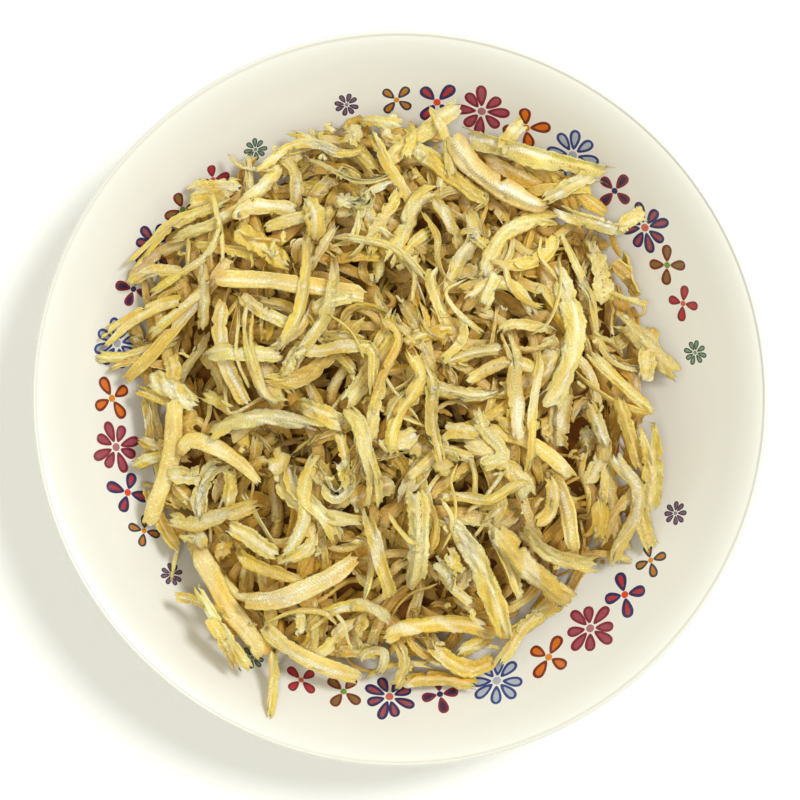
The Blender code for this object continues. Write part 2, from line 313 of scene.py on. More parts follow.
def clay_material(colour):
    """Porcelain left bare on the foot, fired and ground flat: matt, with grit of 0.4 mm."""
    material, add, shader = new_material("bare_fired_clay")
    place = add("TexCoord")["Object"]
    grit = add("TexNoise", {"Vector": place, "Scale": 2500.0, "Detail": 2.0})["Fac"]
    tone = add("Mix", {"Factor": grit, "A": opaque(colour, 0.86), "B": opaque(colour)},
               data_type="RGBA")["Result"]
    bump = add("Bump", {"Height": grit, "Strength": 0.5, "Distance": 0.08 * MM})["Normal"]
    wire(shader, {"Base Color": tone, "Roughness": 0.85, "Normal": bump})
    return material


def enamel_material(name, colour):
    """Ceramic enamel, printed and fired under the glaze: flat colour with the glaze's shine.

    Its dots print unevenly. They are drawn 1.1 mm wide, so that they show.
    """
    material, add, shader = new_material(f"fired_enamel_{name}")
    place = add("TexCoord")["Object"]
    dots = add("TexNoise", {"Vector": place, "Scale": 900.0, "Detail": 2.0})["Fac"]
    tone = add("Mix", {"Factor": dots, "A": opaque(colour, 0.82), "B": opaque(colour, 1.15)},
               data_type="RGBA")["Result"]
    wire(shader, {"Base Color": tone, "Roughness": 0.3, "Coat Weight": 1.0,
                  "Coat Roughness": 0.08})
    return material


def flesh_material():
    """Anchovy flesh, split and dried in air: waxy, a little see-through at thin edges.

    Fibres run along each fish, muscle segments cross it as slanting ticks, a
    dry bleached crust sits in patches with painted glints as bright specks,
    and where skin is left it shines like silver.
    """
    material, add, shader = new_material("air_dried_flesh")
    flesh = settings().flesh
    on_fish = add("UVMap", uv_map="along")["UV"]
    place = add("TexCoord")["Object"]
    across, along, _ = add("SeparateXYZ", {"Vector": on_fish})
    colour = add("Attribute", attribute_name="flesh")["Color"]
    marks = add("Attribute", attribute_name="marks")["Color"]
    ticks, dots, shine = add("SeparateColor", {"Color": marks})

    # Fibres are 0.36 mm wide and 3.3 mm long. Real ones, of 0.1 mm, are too fine to show
    stretched = add("Mapping", {"Vector": on_fish, "Scale": (2.8, 0.3, 1.0)})["Vector"]
    fibres = add("TexNoise", {"Vector": stretched, "Scale": 1.0, "Detail": 4.0,
                              "Roughness": 0.65})["Fac"]
    # Grains of 0.67 mm, coarser than life so that they show, for grit, mottle, dots and painted
    # glints, and crust of 3.8 mm
    grain = add("TexNoise", {"Vector": place, "Scale": 1500.0, "Detail": 3.0,
                             "Roughness": 0.6})["Fac"]
    patches = add("TexNoise", {"Vector": place, "Scale": 260.0, "Detail": 2.0})["Fac"]
    # Real segments are 0.55 mm apart, too fine for the picture, and are drawn wider
    flank = add("Math", (across,), operation="ABSOLUTE")[0]
    slant = add("Math", (flank, 0.6, along), operation="MULTIPLY_ADD")[0]
    turned = add("Math", (slant, TURN * MM / flesh.tick_spacing), operation="MULTIPLY")[0]
    wave = add("Math", (turned,), operation="SINE")[0]
    segments = add("Math", (wave, ticks), operation="MULTIPLY")[0]

    # A range maps its value from between the first two numbers to between the last two
    streaks = add("MapRange", (fibres, 0.3, 0.7, 0.86, 1.07))[0]
    mottle = add("MapRange", (grain, 0.3, 0.7, 0.94, 1.04))[0]
    bands = add("Math", (segments, 0.16, 1.0), operation="MULTIPLY_ADD")[0]
    tones = add("Math", (streaks, mottle), operation="MULTIPLY")[0]
    tones = add("Math", (tones, bands), operation="MULTIPLY")[0]
    toned = add("VectorMath", {0: colour, "Scale": tones}, operation="SCALE")[0]

    # Dried crust is bleached: lighter and less yellow than the flesh it lies on. Painted
    # glints on it are whiter still
    crusty = add("MapRange", (patches, 0.5, 0.64, 0.0, 0.8))[0]
    gritty = add("MapRange", (grain, 0.46, 0.58, 0.0, 1.0))[0]
    crust = add("Math", (crusty, gritty), operation="MULTIPLY")[0]
    bleached = add("VectorMath", (toned, (1.1, 1.22, 1.7)), operation="MULTIPLY")[0]
    crusted = add("Mix", {"Factor": crust, "A": toned, "B": bleached},
                  data_type="RGBA")["Result"]
    # Painted glints: bright specks where the grain peaks, most in the crust's patches
    glint_peaks = add("MapRange", (grain, 0.6, 0.68, 0.0, 0.9))[0]
    glint_patches = add("MapRange", (patches, 0.4, 0.6, 0.2, 1.0))[0]
    glint = add("Math", (glint_peaks, glint_patches), operation="MULTIPLY")[0]
    white = add("VectorMath", (toned, (1.25, 1.5, 2.8)), operation="MULTIPLY")[0]
    glinted = add("Mix", {"Factor": glint, "A": crusted, "B": white}, data_type="RGBA")["Result"]
    pricks = add("MapRange", (grain, 0.54, 0.6, 0.0, 1.0))[0]
    spots = add("Math", (pricks, dots), operation="MULTIPLY")[0]
    spotted = add("Mix", {"Factor": spots, "A": glinted, "B": opaque(flesh.dark)},
                  data_type="RGBA")["Result"]

    relief = add("Math", (segments, 0.3, fibres), operation="MULTIPLY_ADD")[0]
    relief = add("Math", (grain, 0.9, relief), operation="MULTIPLY_ADD")[0]
    bump = add("Bump", {"Height": relief, "Strength": 1.0, "Distance": 0.26 * MM})["Normal"]
    metal = add("Math", (shine, 0.1), operation="MULTIPLY")[0]
    dull = add("MapRange", (patches, 0.35, 0.65, 0.26, 0.46))[0]
    rough = add("Math", (shine, -0.15, dull), operation="MULTIPLY_ADD")[0]
    wire(shader, {"Base Color": spotted, "Roughness": rough, "Metallic": metal,
                  "IOR": 1.42, "Specular IOR Level": 0.22, "Subsurface Weight": 0.65,
                  "Subsurface Radius": (1.0, 0.8, 0.4), "Subsurface Scale": 1.8 * MM,
                  "Coat Weight": 0.3, "Coat Roughness": 0.12, "Coat Normal": bump,
                  "Normal": bump})
    return material


def core_material():
    """Fish flesh deep in the heap, dried in air: brown and dull, as little light gets there."""
    material, _, shader = new_material("shaded_fish_flesh")
    wire(shader, {"Base Color": opaque(settings().flesh.core), "Roughness": 0.8})
    return material


def floor_material(colour):
    """White paper, pressed: matt and even."""
    material, _, shader = new_material("white_paper_floor")
    wire(shader, {"Base Color": opaque(colour), "Roughness": 0.9})
    return material


# Dish

# Radius of the rim's rounding as a share of the wall, and of the foot ring's edges
RIM_SHARE = 0.4
FOOT_EDGE = 0.5 * MM
# Radius of the innermost ring, and height up to which the foot is ground bare
POLE = 2 * MM
GROUND_FOOT = 0.35 * MM
# Points of the section along the floor, the wall, the lip, the rim and the outside
FLOOR_POINTS, WALL_POINTS, LIP_POINTS, RIM_POINTS, OUTSIDE_POINTS = 13, 44, 7, 9, 39
# The wall is the mean of itself moved in and out by up to so many millimetres
SOFTENED = (-3, -2, -1, 0, 1, 2, 3)


def dish_inside(radius):
    """Height of the upper surface: flat, then rising as a power of the way out, then the lip."""
    dish = settings().dish
    wall_radius = dish.radius - dish.lip_width
    wall_top = dish.height - dish.lip_rise
    share = np.clip((radius - dish.floor_radius) / (wall_radius - dish.floor_radius), 0.0, 1.0)
    wall = dish.floor_top + (wall_top - dish.floor_top) * share ** dish.wall_curve
    return wall + dish.lip_rise * np.clip((radius - wall_radius) / dish.lip_width, 0.0, 1.0)


def arc(centre, radius, start, end, count):
    """Points on a circle's arc, from one angle to another, in degrees."""
    angles = np.radians(np.linspace(start, end, count))
    return np.array(centre) + radius * np.stack([np.cos(angles), np.sin(angles)], axis=1)


def dish_section():
    """Half section from the middle of the floor, over the rim and down to the foot.

    The wall's two faces follow one curve, the inner one softened, with the rim
    as an arc between them, and the foot ring has small round edges.
    """
    dish = settings().dish
    edge = dish.wall * RIM_SHARE
    lip_start = dish.radius - dish.lip_width
    floor = np.stack([np.linspace(POLE, dish.floor_radius, FLOOR_POINTS + 1)[:-1],
                      np.full(FLOOR_POINTS, dish.floor_top)], axis=1)
    inner = np.concatenate([np.linspace(dish.floor_radius, lip_start, WALL_POINTS),
                            np.linspace(lip_start, dish.radius - edge, LIP_POINTS + 1)[1:]])
    soft = [dish_inside(inner + shift * MM) for shift in SOFTENED]
    inside = np.stack([inner, np.mean(soft, axis=0)], axis=1)
    rim = arc((dish.radius - edge, dish.height - edge), edge, 80, -60, RIM_POINTS)
    outer = np.linspace(dish.radius - edge / 2, dish.foot_radius + 3 * FOOT_EDGE,
                        OUTSIDE_POINTS + 1)[1:]
    outside = np.stack([outer, dish_inside(outer - edge / 2) - dish.wall], axis=1)
    low, high = dish.foot_radius - dish.foot_width, dish.foot_radius
    foot = np.concatenate([
        [(high + 0.6 * MM, dish.foot_height)],
        arc((high - FOOT_EDGE, FOOT_EDGE), FOOT_EDGE, 0, -90, 5),
        arc((low + FOOT_EDGE, FOOT_EDGE), FOOT_EDGE, -90, -180, 5),
        [(low - 0.5 * MM, dish.foot_height - 0.2 * MM), (low - 1.4 * MM, dish.foot_height)],
        [(low * 0.6, dish.foot_height), (POLE, dish.foot_height)]])
    return np.concatenate([floor, inside, rim, outside, foot])


class ANCHOVY_OT_dish(Operator):
    """Turn the porcelain dish"""

    bl_idname = "anchovy.dish"
    bl_label = "Porcelain Dish"

    around: IntProperty(name="Steps", default=240, description="Steps round the axis")

    def execute(self, context):
        dish = settings().dish
        section = dish_section()
        turn = np.arange(self.around) * TURN / self.around
        rings = np.stack([section[:, None, 0] * np.cos(turn), section[:, None, 0] * np.sin(turn),
                          np.repeat(section[:, 1:], self.around, axis=1)], axis=-1)
        heights = section[:, 1]
        piece = make_piece("porcelain_dish",
                           *capped_rings(rings, (0, 0, heights[0]), (0, 0, heights[-1])))
        piece.data.materials.append(porcelain_material(dish.glaze))
        piece.data.materials.append(clay_material(dish.clay))
        bare = (heights[:-1] < GROUND_FOOT) & (heights[1:] < GROUND_FOOT)
        index = np.zeros(len(piece.data.polygons), np.int32)
        index[:len(bare) * self.around] = np.repeat(bare, self.around)
        piece.data.polygons.foreach_set("material_index", index)
        settle(piece, "dish")
        return {"FINISHED"}


# Band of flowers: three swags, each of the same eleven flowers. A swag is the degrees at
# which it starts, how much it is stretched, and its radius as a share of the band's.
SWAGS = ((100.3, 0.973, 0.992), (-22.6, 1.033, 0.991), (-142.4, 1.037, 0.96))
ENAMELS = {
    "plum": "#432E48", "mauve": "#735C78", "lilac": "#8C82A2", "slate": "#343B45",
    "ochre": "#B9752C", "amber": "#E38A1C", "navy": "#2B2860", "scarlet": "#B2333A",
    "coral": "#DE4A30", "crimson": "#84253B", "rose": "#A14A5C", "dusty_rose": "#B4747C",
    "russet": "#7C2A1E", "orange": "#D8701C", "blue": "#2C4385", "pearl": "#AEB6C4",
    "indigo": "#35264F", "brick": "#A04850", "salmon": "#CC6452", "umber": "#80683A",
    "leaf": "#73993B", "bottle": "#2F4E46", "sage": "#7C957F",
}
# Degrees on from the swag's start, width in millimetres, petals, degrees the flower is
# turned, then the enamels of outline, fill and middle
FLOWERS = (
    (0.0, 6.4, 8, 0, "plum", "mauve", "lilac"),
    (9.9, 9.2, 4, 7, "slate", "ochre", "amber"),
    (17.9, 12.0, 4, 10, "navy", "scarlet", "coral"),
    (26.9, 13.6, 8, -11, "crimson", "rose", "dusty_rose"),
    (36.3, 12.0, 4, -13, "russet", "orange", "amber"),
    (46.9, 13.8, 8, 2, "blue", "pearl", "pearl"),
    (57.8, 10.4, 4, -42, "crimson", "indigo", "navy"),
    (67.2, 13.0, 8, 0, "navy", "brick", "salmon"),
    (75.8, 10.4, 4, 16, "russet", "umber", "leaf"),
    (84.0, 9.0, 4, 15, "crimson", "scarlet", "salmon"),
    (94.0, 6.4, 8, 0, "bottle", "sage", "sage"),
)
# A flower's size up the wall and round it, as seen in plan
FLOWER_UP, FLOWER_ROUND = 0.88, 1.08
# Where a petal starts and half its width, as shares of the flower's radius
FOUR_PETALS, EIGHT_PETALS = (0.17, 0.25), (0.21, 0.2)
PETAL_TAPER = 0.42
# The fill of a petal: its length and its width as shares of the outline's, and how far out
# it is moved. Petals outlined in navy have a bolder line
FILL_LENGTH, FILL_WIDTH, BOLD_FILL_WIDTH, FILL_OUT = 0.66, 0.52, 0.42, 0.03
MIDDLE_RADIUS = 0.16
# Petals are a little uneven, in radians and as a share of the flower's radius
PETAL_SWAY, PETAL_STRETCH = 0.07, 0.08
# Rings of a patch as shares of its size, points round it, and how deep it sinks in the glaze
PATCH_RINGS = (0.5, 0.94, 1.0)
PATCH_AROUND = 24
PATCH_SINK = 0.05 * MM


def enamel_patch(flower, at, heading, half_length, half_width, taper, lift):
    """A drop of enamel on the wall: rings about its middle, width swelling to one end.

    Along it a point lies at cos(angle) and across it at sin(angle) times one
    plus the taper times cos(angle). The flower's matrix turns that into plan,
    and its height is the wall's, plus the lift.
    """
    reach = np.array((0.0, *PATCH_RINGS))[:, None, None]
    angle = (np.arange(PATCH_AROUND) * TURN / PATCH_AROUND)[None, :, None]
    along = reach * half_length * np.cos(angle)
    side = reach * half_width * np.sin(angle) * (1 + taper * np.cos(angle))
    out = np.array([math.cos(heading), math.sin(heading)])
    left = np.array([-out[1], out[0]])
    centre, matrix = flower
    x, y = np.moveaxis(centre + (at + along * out + side * left) @ matrix, -1, 0)
    top = np.stack([x, y, dish_inside(np.hypot(x, y)) + lift], axis=-1)
    sunk = np.array([0.0, 0.0, lift + PATCH_SINK])
    middle = top[0, 0]
    return capped_rings(np.concatenate([top[1:], top[-1:] - sunk]), middle, middle - sunk)


def flower_patches(band, swag, offset, width, petals, turned, names):
    """The petals and the middle of one flower, each with the enamel it is printed in.

    Its first axis runs up the wall, where the slope makes it shorter in plan.
    """
    outline, fill, middle = names
    start, stretch, share = swag
    bearing = math.radians(start - offset * stretch)
    up = np.array([math.cos(bearing), math.sin(bearing)])
    matrix = np.array([up * FLOWER_UP, (-up[1] * FLOWER_ROUND, up[0] * FLOWER_ROUND)])
    flower = up * band.radius * share, matrix
    half = width / 2 * MM * share
    inner, wide = FOUR_PETALS if petals == 4 else EIGHT_PETALS
    filled = BOLD_FILL_WIDTH if outline == "navy" else FILL_WIDTH
    middle_size = half * MIDDLE_RADIUS
    shapes = [(np.zeros(2), 0.0, middle_size, middle_size, 0.0, 1.0, middle)]
    for petal in range(petals):
        heading = math.radians(turned) + (petal + 0.5) * TURN / petals
        heading += PETAL_SWAY * math.sin(petal * 2.3 + offset)
        reach = 1 + PETAL_STRETCH * math.sin(petal * 3.1 + offset)
        out = np.array([math.cos(heading), math.sin(heading)])
        at = out * half * (reach + inner) / 2
        long = half * (reach - inner) / 2
        shapes.append((at, heading, long, half * wide, PETAL_TAPER, 1.0, outline))
        shapes.append((at + out * half * FILL_OUT, heading, long * FILL_LENGTH,
                       half * wide * filled, PETAL_TAPER, 2.0, fill))
    return [(enamel_patch(flower, at, heading, long, wide_half, taper, band.lift * layer), name)
            for at, heading, long, wide_half, taper, layer, name in shapes]


class ANCHOVY_OT_flower_band(Operator):
    """Print the band of enamel flowers on the wall"""

    bl_idname = "anchovy.flower_band"
    bl_label = "Flower Band"

    def execute(self, context):
        band = settings().band
        patches = []
        for swag in SWAGS:
            for offset, width, petals, turned, *names in FLOWERS:
                patches += flower_patches(band, swag, offset, width, petals, turned, names)
        names = sorted(ENAMELS)
        parts = []
        for (points, quads, triangles), name in patches:
            enamel = names.index(name)
            parts.append({"points": points, "quads": quads, "triangles": triangles,
                          "quad_enamels": np.full(len(quads), enamel),
                          "triangle_enamels": np.full(len(triangles), enamel)})
        whole = join_arrays(parts)
        piece = make_piece("flower_band", whole["points"], whole["quads"], whole["triangles"])
        for name in names:
            piece.data.materials.append(enamel_material(name, hex_colour(ENAMELS[name])))
        index = np.concatenate([whole["quad_enamels"], whole["triangle_enamels"]])
        piece.data.polygons.foreach_set("material_index", index.astype(np.int32))
        settle(piece, "dish")
        return {"FINISHED"}


# Heap: where every fish lies

@dataclass
class FishKind:
    """What the fish of one kind have in common. A pair is the least and the most."""

    share: float  # of all fish
    length: tuple  # millimetres
    width: tuple  # millimetres
    thick: float  # share of the width
    bend: float = 0.5  # radians from end to end
    kink: float = 0.3  # radians at one place
    twist: float = 0.3  # radians from end to end
    roll: float = 0.25  # radians, the whole fish
    cup: float = 0.12  # flanks curled up or down, share of the width
    ridge: float = 0.08  # over the backbone, share of the width
    bare: tuple = (0.3, 1.05)  # width at the ends, share of the width
    rag: float = 0.12  # teeth and bites of the flanks, share of the width
    fray: float = 0.14  # how far fibres end short, share of the length
    fork: float = 0.3  # chance of a forked tail
    flare: float = 0.0  # width at the head in place of a bare one
    arch: float = 0.05  # up or down in the middle, share of the length
    crumple: float = 0.12  # share of the width
    above: int = 11  # points across the back


KINDS = {
    "fillet": FishKind(0.24, (22, 38), (3.2, 5.0), 0.15, cup=0.26, ridge=0.09, fork=0.4,
                       crumple=0.16),
    "narrow": FishKind(0.28, (20, 36), (2.3, 3.8), 0.2, bend=0.7, kink=0.4, cup=0.24),
    "back": FishKind(0.12, (24, 38), (2.9, 4.2), 0.36, cup=0.06, ridge=0.05, rag=0.06,
                     fray=0.05, fork=0.1, crumple=0.06),
    "strip": FishKind(0.2, (12, 30), (0.9, 2.0), 0.32, bend=0.9, kink=0.6, twist=1.4, roll=0.6,
                      cup=0.2, bare=(0.4, 1.2), arch=0.1, above=7),
    "curl": FishKind(0.1, (16, 28), (2.2, 3.4), 0.28, bend=2.4, kink=0.3, twist=0.8, roll=0.4,
                     cup=0.2, arch=0.1),
    "fan": FishKind(0.02, (7, 13), (3.6, 5.4), 0.12, bend=0.3, bare=(0.15, 0.4), fray=0.18,
                    flare=1.3, cup=0.15, crumple=0.06),
    "crumb": FishKind(0.01, (1.6, 4.5), (0.8, 1.8), 0.35, bend=0.8, kink=0.8, twist=0.6,
                      roll=0.6, rag=0.3, fray=0.2, crumple=0.3, above=7),
    "torn": FishKind(0.06, (8, 16), (3.0, 5.0), 0.15, bend=0.7, kink=0.5, twist=0.8, roll=0.4,
                     cup=0.3, ridge=0.02, bare=(0.5, 1.3), rag=0.25, fray=0.2, fork=0.6,
                     crumple=0.22),
}

# Tone: its two colours and how far to the second, then muscle marks and the chances of
# dark dots and of silver
TONES = {
    "pale": ("pale", "gold", 0.1, 0.35, 0.1, 0.2),
    "gold": ("gold", "pale", 0.2, 0.3, 0.05, 0.1),
    "grey": ("grey", "pale", 0.35, 0.6, 0.2, 0.5),
    "silver": ("pale", "grey", 0.4, 0.6, 0.15, 1.0),
    # Brown is partly a fish's own tone, and partly painted shade where listed fish lie in a shaded
    # gap
    "brown": ("amber", "gold", 0.45, 0.3, 0.3, 0.0),
    "beaded": ("pale", "cream", 0.25, 1.3, 0.0, 0.45),
    "dotted": ("pale", "gold", 0.15, 0.5, 1.0, 0.15),
}
TONE_SHARES = (0.38, 0.27, 0.12, 0.08, 0.06, 0.04, 0.05)

# Points of a fish's line, and places along it that are tried as those it rests on
LINE_POINTS = 49
REST_STEPS = 14
# Spots across a fish that touch the heap, as shares of the width, and its height at each
SPOTS_ACROSS = np.array((-0.42, -0.22, 0.0, 0.22, 0.42))
BACK_ROUND = np.array((0.5, 0.85, 1.0, 0.85, 0.5))
THINNEST = 0.6 * MM
# Shares of a fish's length: its steepest slope from end to end and its highest arch. It
# takes up a share of the ground's own arch
STEEPEST = 0.26
MOST_ARCH = 0.11
ARCH_TAKEN = 0.6
# How far a fish sinks among those below, laid by rule and listed
RULE_SINK, HAND_SINK = 0.35 * MM, 0.45 * MM
# Headings of a fish by rule: radians of sway, and a kink's run as a share of the length
SWAY, KINK_RUN = 0.25, 0.06
# Room inside the outline for a fish's middle, room outside it for its ends, and what each
# metre past that or above the dome costs against a metre of thin cover
MIDDLE_ROOM, ENDS_ROOM, PAST_COST = 3 * MM, 2 * MM, 1.5
# Laying by rule: draws for each one laid, and how far above the dome it may reach
BELOW_TRIES, BELOW_ROOM = 8, -2.5 * MM
BETWEEN_TRIES, BETWEEN_ROOM = 12, 0.0
CRUMB_TRIES, CRUMB_ROOM = 3, 0.5 * MM
BETWEEN_KINDS = ["narrow", "fillet", "strip", "torn", "fan"]

# Fish listed where they catch the eye, lowest first, in millimetres: x and y of the
# tail, of the middle and of the head, the width, then kind and tone
LAID_FISH = (
    (-60, 17, -74, 12, -84, 12, 3.2, "narrow", "pale"),
    (-62, 8, -72, 10, -81, 8, 2.6, "strip", "brown"),
    (-66, 26, -74, 22, -81, 19, 2.4, "strip", "gold"),
    (-71, 1, -69, -9, -71, -18, 3.2, "narrow", "brown"),
    (-73, 3, -66, 0, -58, -3, 3.0, "curl", "gold"),
    (-73, -11, -64, -13, -56, -10, 3.4, "fillet", "brown"),
    (-74, -19, -66, -16, -57, -17, 3.4, "narrow", "gold"),
    (-70, -24, -66, -34, -60, -42, 3.4, "narrow", "brown"),
    # The brown ones among these fill a shaded gap: their brown is painted shade
    (22, 66, 33, 60, 45, 55, 4.2, "narrow", "brown"),
    (28, 70, 40, 61, 50, 49, 4.4, "fillet", "gold"),
    (45, 62, 50, 55, 57, 50, 3.6, "narrow", "brown"),
    (33, 55, 42, 57, 53, 57, 3.2, "strip", "gold"),
    (-56, 41, -49, 41, -37, 38, 3.3, "narrow", "gold"),
    (-59, 57, -51, 58, -43, 58, 4.3, "narrow", "pale"),
    (-59, 53, -52, 54, -45, 55, 4.3, "narrow", "gold"),
    (-33, 64, -37, 58, -48, 48, 3.8, "narrow", "pale"),
    (-75, 31, -66, 35, -56, 33, 3.5, "curl", "pale"),
    (-64, 43, -50, 48, -38, 55, 3.8, "fillet", "pale"),
    (-46, 38, -58, 23, -76, 4, 3.6, "back", "gold"),
    (-82, 15, -71, 23, -59, 27, 3.8, "back", "gold"),
    (-69, 17, -61, 23, -51, 31, 2.7, "narrow", "gold"),
    (-45, 46, -37, 41, -29, 35, 6.0, "fillet", "gold"),
    (-43, 48, -40, 52, -28, 51, 4.3, "back", "silver"),
    (-37, 46, -31, 48, -19, 51, 3.3, "narrow", "pale"),
    (-26, 54, -23, 50, -23, 42, 5.4, "fillet", "gold"),
    (-25, 34, -22, 39, -17, 47, 2.4, "narrow", "silver"),
    (-20, 36, -14, 38, -3, 38, 3.3, "narrow", "brown"),
    (-47, 26, -48, 14, -41, -2, 4.6, "back", "grey"),
    (-43, 15, -37, 8, -33, -2, 5.4, "fillet", "silver"),
    (-24, 27, -27, 19, -35, 14, 3.5, "narrow", "pale"),
    (-43, 28, -38, 24, -28, 19, 3.5, "narrow", "pale"),
    (-50, 32, -30, 31, -9, 27, 4.9, "back", "pale"),
    (-33, 67, -16, 70, -5, 59, 3.6, "narrow", "gold"),
    (-11, 77, -5, 76, 1, 75, 3.5, "narrow", "pale"),
    (-4, 65, 4, 71, 18, 82, 4.9, "fillet", "pale"),
    (6, 67, 14, 60, 24, 53, 4.3, "narrow", "gold"),
    (7, 80, 12, 73, 14, 59, 3.0, "strip", "pale"),
    (-8, 73, -4, 65, 5, 50, 3.3, "strip", "gold"),
    (-12, 57, -7, 47, -1, 37, 4.9, "fillet", "dotted"),
    (5, 57, 12, 50, 17, 37, 3.3, "narrow", "silver"),
    (1, 34, 2, 40, 9, 46, 3.0, "narrow", "gold"),
    (16, 72, 35, 66, 59, 61, 5.1, "fillet", "silver"),
    (14, 72, 24, 59, 41, 52, 6.0, "back", "beaded"),
    (41, 52, 51, 48, 63, 46, 4.1, "narrow", "pale"),
    (38, 53, 45, 57, 52, 61, 4.6, "fan", "grey"),
    (59, 46, 63, 49, 67, 51, 4.2, "fan", "pale"),
    (26, 67, 30, 72, 34, 76, 4.4, "fan", "pale"),
    (41, 45, 38, 38, 24, 35, 3.8, "narrow", "gold"),
    (43, 48, 29, 45, 22, 32, 4.6, "fillet", "pale"),
    (43, 45, 47, 38, 51, 29, 2.4, "strip", "pale"),
    (53, 41, 55, 33, 56, 25, 6.0, "fillet", "pale"),
    (62, 41, 64, 33, 66, 28, 3.3, "strip", "gold"),
    (57, 29, 63, 27, 69, 25, 2.2, "strip", "pale"),
    (70, 20, 69, 14, 67, 8, 3.8, "narrow", "gold"),
    (51, 13, 60, 4, 70, -4, 3.3, "narrow", "pale"),
    (47, 8, 57, 0, 68, -4, 2.4, "strip", "gold"),
    (45, 5, 43, -4, 43, -14, 6.2, "fillet", "grey"),
    (17, 26, 28, 31, 37, 21, 3.5, "narrow", "pale"),
    (27, 17, 31, 20, 42, 18, 2.7, "curl", "pale"),
    (28, 15, 35, 13, 42, 16, 2.4, "curl", "silver"),
    (11, 9, 19, 12, 28, 13, 3.5, "narrow", "pale"),
    (1, 14, 7, 17, 15, 19, 3.8, "narrow", "gold"),
    (14, 22, 17, 17, 10, 9, 2.7, "strip", "pale"),
    (5, 13, 4, 4, 1, -3, 5.4, "fillet", "silver"),
    (-25, 23, -18, 14, -11, 6, 3.3, "narrow", "gold"),
    (-1, 25, -6, 14, -10, 8, 3.3, "narrow", "gold"),
    (1, 17, -7, 8, -15, -3, 4.9, "fillet", "pale"),
    (41, 14, 38, 6, 24, 1, 5.6, "fillet", "silver"),
    (41, 36, 47, 17, 39, -3, 6.0, "fillet", "pale"),
    (-27, -2, -21, -4, -15, -8, 5.0, "narrow", "pale"),
    (-16, -9, -15, -14, -14, -19, 3.0, "strip", "pale"),
    (-9, -1, 1, -5, 11, -9, 3.3, "strip", "pale"),
    (-69, 6, -63, 3, -54, -2, 5.4, "fillet", "silver"),
    (-63, 12, -62, 8, -62, 5, 4.4, "narrow", "gold"),
    (-62, 0, -63, -17, -70, -35, 5.1, "back", "pale"),
    (-44, -17, -53, -22, -54, -36, 4.6, "fillet", "grey"),
    (-46, -19, -46, -24, -47, -30, 3.8, "narrow", "gold"),
    (-60, -15, -52, -12, -37, -23, 4.6, "back", "pale"),
    (-52, -10, -38, -5, -20, -8, 4.6, "fillet", "grey"),
    (-43, -25, -38, -33, -32, -42, 1.6, "strip", "pale"),
    (-47, -34, -40, -38, -32, -43, 4.6, "narrow", "pale"),
    (-44, -42, -36, -46, -26, -49, 3.5, "narrow", "gold"),
    (-27, -32, -24, -39, -34, -44, 3.8, "narrow", "silver"),
    (-31, -17, -28, -28, -7, -33, 3.8, "narrow", "pale"),
    (-25, -22, -22, -17, -16, -26, 2.4, "curl", "pale"),
    (-14, -28, -8, -25, -1, -22, 6.2, "fillet", "silver"),
    (-26, -63, -13, -56, -2, -61, 3.5, "narrow", "gold"),
    (-14, -38, -8, -41, -10, -55, 2.7, "strip", "pale"),
    (-9, -28, -5, -44, -2, -54, 3.8, "narrow", "gold"),
    (-56, -40, -46, -57, -36, -70, 5.4, "back", "pale"),
    (-62, -54, -55, -55, -46, -59, 3.3, "strip", "gold"),
    (-55, -50, -48, -63, -40, -74, 3.2, "narrow", "pale"),
    (-52, -59, -48, -65, -44, -74, 3.3, "strip", "gold"),
    (-35, -68, -35, -77, -36, -87, 3.3, "narrow", "gold"),
    (-37, -61, -27, -70, -10, -76, 4.9, "back", "silver"),
    (-42, -54, -27, -52, -11, -42, 5.1, "back", "beaded"),
    (0, -78, 11, -77, 22, -79, 4.4, "fillet", "brown"),
    (7, -65, 18, -74, 27, -70, 4.6, "fillet", "brown"),
    (-3, -65, 1, -72, -2, -80, 3.3, "narrow", "gold"),
    (-5, -65, 8, -61, 24, -63, 4.6, "narrow", "gold"),
    (44, -55, 35, -62, 27, -74, 3.8, "narrow", "pale"),
    (33, -33, 41, -42, 55, -45, 4.9, "fillet", "grey"),
    (24, -33, 29, -44, 33, -55, 3.8, "narrow", "gold"),
    (26, -34, 35, -46, 48, -57, 6.2, "fillet", "gold"),
    (56, -17, 56, -25, 55, -32, 2.7, "strip", "pale"),
    (59, 1, 63, -10, 66, -20, 3.8, "narrow", "gold"),
    (51, 0, 54, -7, 57, -14, 3.8, "narrow", "grey"),
    (66, -22, 67, -34, 70, -42, 4.4, "fillet", "pale"),
    (67, -7, 69, -18, 68, -32, 5.8, "fillet", "pale"),
    (40, -19, 45, -29, 47, -42, 4.3, "back", "silver"),
    (40, -20, 41, -29, 36, -34, 3.8, "curl", "gold"),
    (0, -11, 6, -13, 12, -16, 5.6, "torn", "gold"),
    (4, -18, 9, -17, 15, -20, 5.2, "torn", "pale"),
    (18, -9, 33, -11, 47, -22, 4.1, "back", "pale"),
    (16, -11, 28, -17, 36, -28, 5.4, "fillet", "pale"),
    (9, -44, 14, -51, 20, -56, 2.7, "strip", "silver"),
    (11, -31, 21, -44, 29, -67, 6.0, "fillet", "silver"),
    (4, -23, 5, -36, 3, -52, 6.0, "fillet", "pale"),
    (7, -10, 12, -14, 16, -17, 4.6, "torn", "pale"),
)


def outline_radius(bearing):
    """Radius of the heap's edge at a bearing: half a cosine wave from each radius to the next."""
    place = np.mod(bearing, TURN) / TURN * len(OUTLINE_RADII)
    before = np.floor(place).astype(int)
    share = (1 - np.cos((place - before) * math.pi)) / 2
    return (OUTLINE_RADII[before % len(OUTLINE_RADII)] * (1 - share)
            + OUTLINE_RADII[(before + 1) % len(OUTLINE_RADII)] * share)


def hollow_depth(x, y):
    """Depth of the hollows at each point: the sum of a bell about each one's middle."""
    return sum(depth * MM * bump_at(np.hypot(x / MM - middle_x, y / MM - middle_y), 0, reach)
               for middle_x, middle_y, reach, depth in HOLLOWS)


